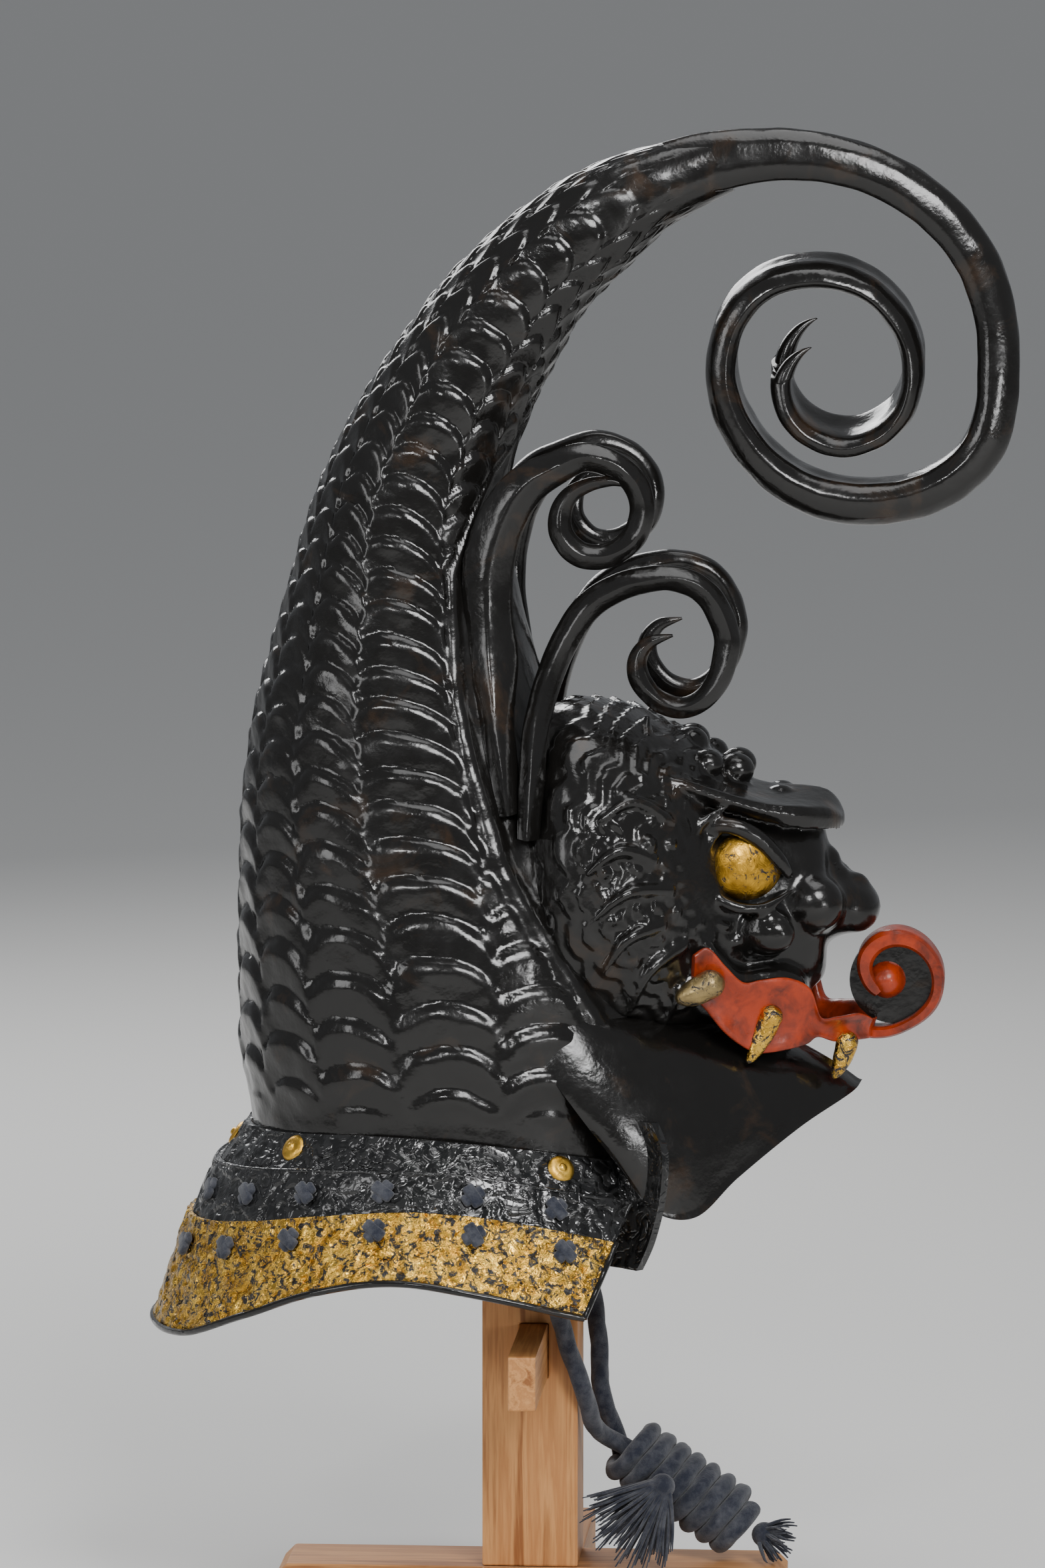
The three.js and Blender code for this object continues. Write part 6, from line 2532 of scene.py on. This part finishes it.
@dataclass
class ChinCord:
    """The navy chin cord: one strand runs down the hank's core and the other is wound round it."""

    diameter: float = 9.0
    hank_top: Row = (40.5, 0.0, 88.0)
    hank_foot: Row = (105.0, 0.0, 44.4)
    wound_radius: float = 13.6
    first_wound: float = 0.92
    first_angle: float = -25.0
    end_room: float = 0.62
    turns: float = 7.6
    core_parts: int = 6
    core_lift: float = 3.0
    core_length: float = 0.255
    wound_length: float = 0.83
    tassel_head: Row = (64.0, -25.0, 71.0)
    tassel_aim: Row = (-0.62, -0.12, -0.78)
    fray_head: Row = (112.4, -4.0, 43.5)
    fray_aim: Row = (0.7, -0.6, -0.35)
    lock_knot: Row = (6.2, 5.4, 6.2)
    lock_foot: float = 31.6
    tassel: tuple[float, float, int] = (45.0, 0.78, 110)
    fray: tuple[float, float, int] = (18.0, 0.7, 36)
    strands_round: int = 3
    valley: float = 0.88
    crest: float = 0.14
    twist: float = 22.0
    sides: int = 24

    def axis(self) -> tuple[Vector, Vector, Vector, Vector]:
        """Return the hank's top, its direction and two directions across it.

        Returns:
            The four, in that order.
        """
        top, foot = Vector(self.hank_top), Vector(self.hank_foot)
        ahead = (foot - top).normalized()
        side = Vector((0, 1, 0))
        return top, ahead, side, ahead.cross(side)

    def core_route(self) -> Route:
        """Return the right strand's line, down to the foot of the hank.

        Returns:
            The line.
        """
        top, ahead, _, _ = self.axis()
        long = (Vector(self.hank_foot) - top).length
        points = list(RIGHT_STRAND)
        for k in range(1, self.core_parts + 1):
            points.append(tuple(top + ahead * (long * k / self.core_parts - self.core_lift)))
        return Route(points)

    def wound_route(self) -> Route:
        """Return the left strand's line: down, then round the core to its tassel.

        Returns:
            The line.
        """
        top, ahead, side, up = self.axis()
        room = self.diameter * self.end_room
        long = (Vector(self.hank_foot) - top).length - 2 * room
        points = list(LEFT_STRAND)
        parts = round(self.turns * 10)
        for k in range(parts + 1):
            share = k / parts
            angle = math.radians(self.first_angle) - share * self.turns * FULL_TURN
            radius = self.wound_radius * mix(self.first_wound, 1.0, ease(share * 8))
            spot = top + ahead * (room + long * share)
            spot += side * (math.cos(angle) * radius)
            spot += up * (math.sin(angle) * radius)
            points.append(tuple(spot))
        return Route(points)

    def rope(self, route: Route) -> Mesh:
        """Return a laid rope on a line, its strands showing as a slow twist.

        Args:
            route: The line.

        Returns:
            The mesh in metres.
        """
        long = route.length()
        r = self.diameter / 2

        def radius(s: float, angle: float) -> float:
            """Return the rope's radius, fuller at the crest of a strand."""
            phase = self.strands_round * angle - s * long / self.twist * FULL_TURN
            return r * (self.valley + self.crest * abs(math.cos(phase / 2)))

        return route.tube(self.sides, radius)

    def locks(self, head: Row, aim: Row, long: float, fan: float, count: int) -> list[Mesh]:
        """Return a frayed end: a bound head with thin locks that fan out from it.

        Args:
            head: The middle of the bound head.
            aim: The locks' main direction.
            long: Their length.
            fan: How far they spread, as a share of the direction.
            count: How many there are.

        Returns:
            The meshes.
        """
        made = [ball(head, self.lock_knot, parts=16)]
        ahead = Vector(aim).normalized()
        across = Vector((0, -1, 0)).cross(ahead).normalized()
        deep = ahead.cross(across)
        for i in range(count):
            spread = 2 * i / (count - 1) - 1
            rise = math.sin(i * 2.4) * 0.5
            start = Vector(head) + across * (spread * 4.5) + deep * (rise * 5)
            way = (ahead + across * (spread * fan) + deep * (rise * fan * 0.45)).normalized()
            reach = long * (1 - 0.2 * spread * spread - 0.22 * abs(math.sin(i * 1.7)))
            sway = across * (math.sin(i * 3.1) * 2.2) + deep * (math.cos(i * 2.1) * 1.4)
            points = []
            for k in range(5):
                t = k / 4
                spot = start + way * (reach * t) + sway * (math.sin(math.pi * t) * 0.8)
                spot += sway * (t * t)
                spot.z = max(spot.z, self.lock_foot)
                points.append(tuple(spot))
            size = 0.75 + 0.4 * abs(math.sin(i * 1.3))
            made.append(Route(points, 3).tube(6, lambda s, _, w=size: w * (1.1 - 0.75 * s)))
        return made

    def build(self, finishes: Finishes) -> list[Piece]:
        """Args:
            finishes: The shared finishes.

        Returns:
            The four pieces.
        """
        core, wound = self.core_route(), self.wound_route()
        LOG.info("cord lines: %.1f mm and %.1f mm", core.length(), wound.length())
        tassel = self.locks(self.tassel_head, self.tassel_aim, *self.tassel)
        fray = self.locks(self.fray_head, self.fray_aim, *self.fray)
        replaced = ["chin_cord_left", "cord_hank"]
        made = [
            finished("cord_tassel", gathered(tassel), finishes.cord, ["cord_tassel"], 60),
            finished("cord_fray", gathered(fray), finishes.cord, ["cord_fray"], 60),
            finished("chin_cord_right", self.rope(core), finishes.cord, ["chin_cord_right"], 70),
            finished("chin_cord_left", self.rope(wound), finishes.cord, replaced, 70),
        ]
        return made


# The studio


@dataclass
class Studio:
    """A pale floor, soft light and a camera at the photograph's angle."""

    azimuth: float = 4.0
    elevation: float = 6.5
    distance: float = 3700.0
    target: Row = (-5.2, 0.0, 407.6)
    lens: float = 176.98
    sensor: float = 36.0
    sky: Row = (0.62, 0.64, 0.67)
    sky_strength: float = 0.44
    floor_size: float = 90.0
    far_clip: float = 200.0
    lamps: tuple[tuple[str, Row, float, Row], ...] = (
        ("key", (0.8, -2.0, 1.8), 52.0, (0.9, 0.8)),
        ("fill", (-1.9, -1.6, 1.1), 14.0, (0.6, 1.4)),
        ("back", (-0.9, 1.8, 1.6), 30.0, (1.5, 1.0)),
        ("top", (0.2, -0.2, 2.3), 16.0, (1.2, 1.2)),
        ("glint", (-0.6, -2.4, 1.3), 10.0, (0.24, 0.24)),
        ("low_glint", (1.5, -2.0, 0.42), 7.0, (0.3, 0.3)),
    )

    def build(self) -> None:
        """Set up the floor, lamps, sky and camera."""
        scene = bpy.context.scene
        bm = bmesh.new()
        bmesh.ops.create_grid(bm, x_segments=1, y_segments=1, size=self.floor_size)
        mesh = bpy.data.meshes.new("floor")
        bm.to_mesh(mesh)
        bm.free()
        mesh.materials.append(Paper().build())
        floor = bpy.data.objects.new("floor", mesh)
        scene.collection.objects.link(floor)
        for name, place, power, size in self.lamps:
            light = bpy.data.lights.new(name, "AREA")
            light.energy = power
            light.shape = "RECTANGLE"
            light.size, light.size_y = size
            lamp = bpy.data.objects.new(name, light)
            lamp.location = place
            aim = Vector(self.target) * MM - Vector(place)
            lamp.rotation_euler = aim.to_track_quat("-Z", "Y").to_euler()
            scene.collection.objects.link(lamp)
        world = bpy.data.worlds.new("studio")
        world.use_nodes = True
        backdrop = world.node_tree.nodes["Background"]
        backdrop.inputs["Color"].default_value = (*self.sky, 1.0)
        backdrop.inputs["Strength"].default_value = self.sky_strength
        scene.world = world
        self.camera()

    def camera(self) -> None:
        """Place the camera where the photograph was taken from."""
        azimuth, elevation = math.radians(self.azimuth), math.radians(self.elevation)
        back = Vector((
            math.sin(azimuth) * math.cos(elevation),
            -math.cos(azimuth) * math.cos(elevation),
            math.sin(elevation),
        ))
        lens = bpy.data.cameras.new("camera")
        lens.lens = self.lens
        lens.sensor_width = self.sensor
        lens.sensor_fit = "AUTO"
        lens.clip_end = self.far_clip
        camera = bpy.data.objects.new("camera", lens)
        camera.location = (Vector(self.target) + back * self.distance) * MM
        camera.rotation_euler = (math.pi / 2 - elevation, 0.0, azimuth)
        bpy.context.scene.collection.objects.link(camera)
        bpy.context.scene.camera = camera


def main() -> None:
    """Build every sub-assembly in order over the frame."""
    logging.basicConfig(level=logging.INFO, format="%(name)s: %(message)s")
    # Vector noise is offset by the seed, which would otherwise be the clock's.
    noise.seed_set(NOISE_SEED)
    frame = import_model()
    finishes = Finishes()
    body = ScaledBody()
    body.build(finishes)
    CurledTail().build(finishes)
    Horn("horn_rear", REAR_HORN_ROWS, 168, 25, 17, 400.5, 64).build(finishes)
    Horn("horn_front", FRONT_HORN_ROWS, 122, 13, 15, 389.5, 70).build(finishes)
    DragonHead().build(finishes, body)
    Mouth().build(finishes)
    Visor().build(finishes, body)
    NeckGuard().build(finishes)
    Stand().build(frame["nodes"])
    ChinCord().build(finishes)
    Studio().build()


if __name__ == "__main__":
    main()
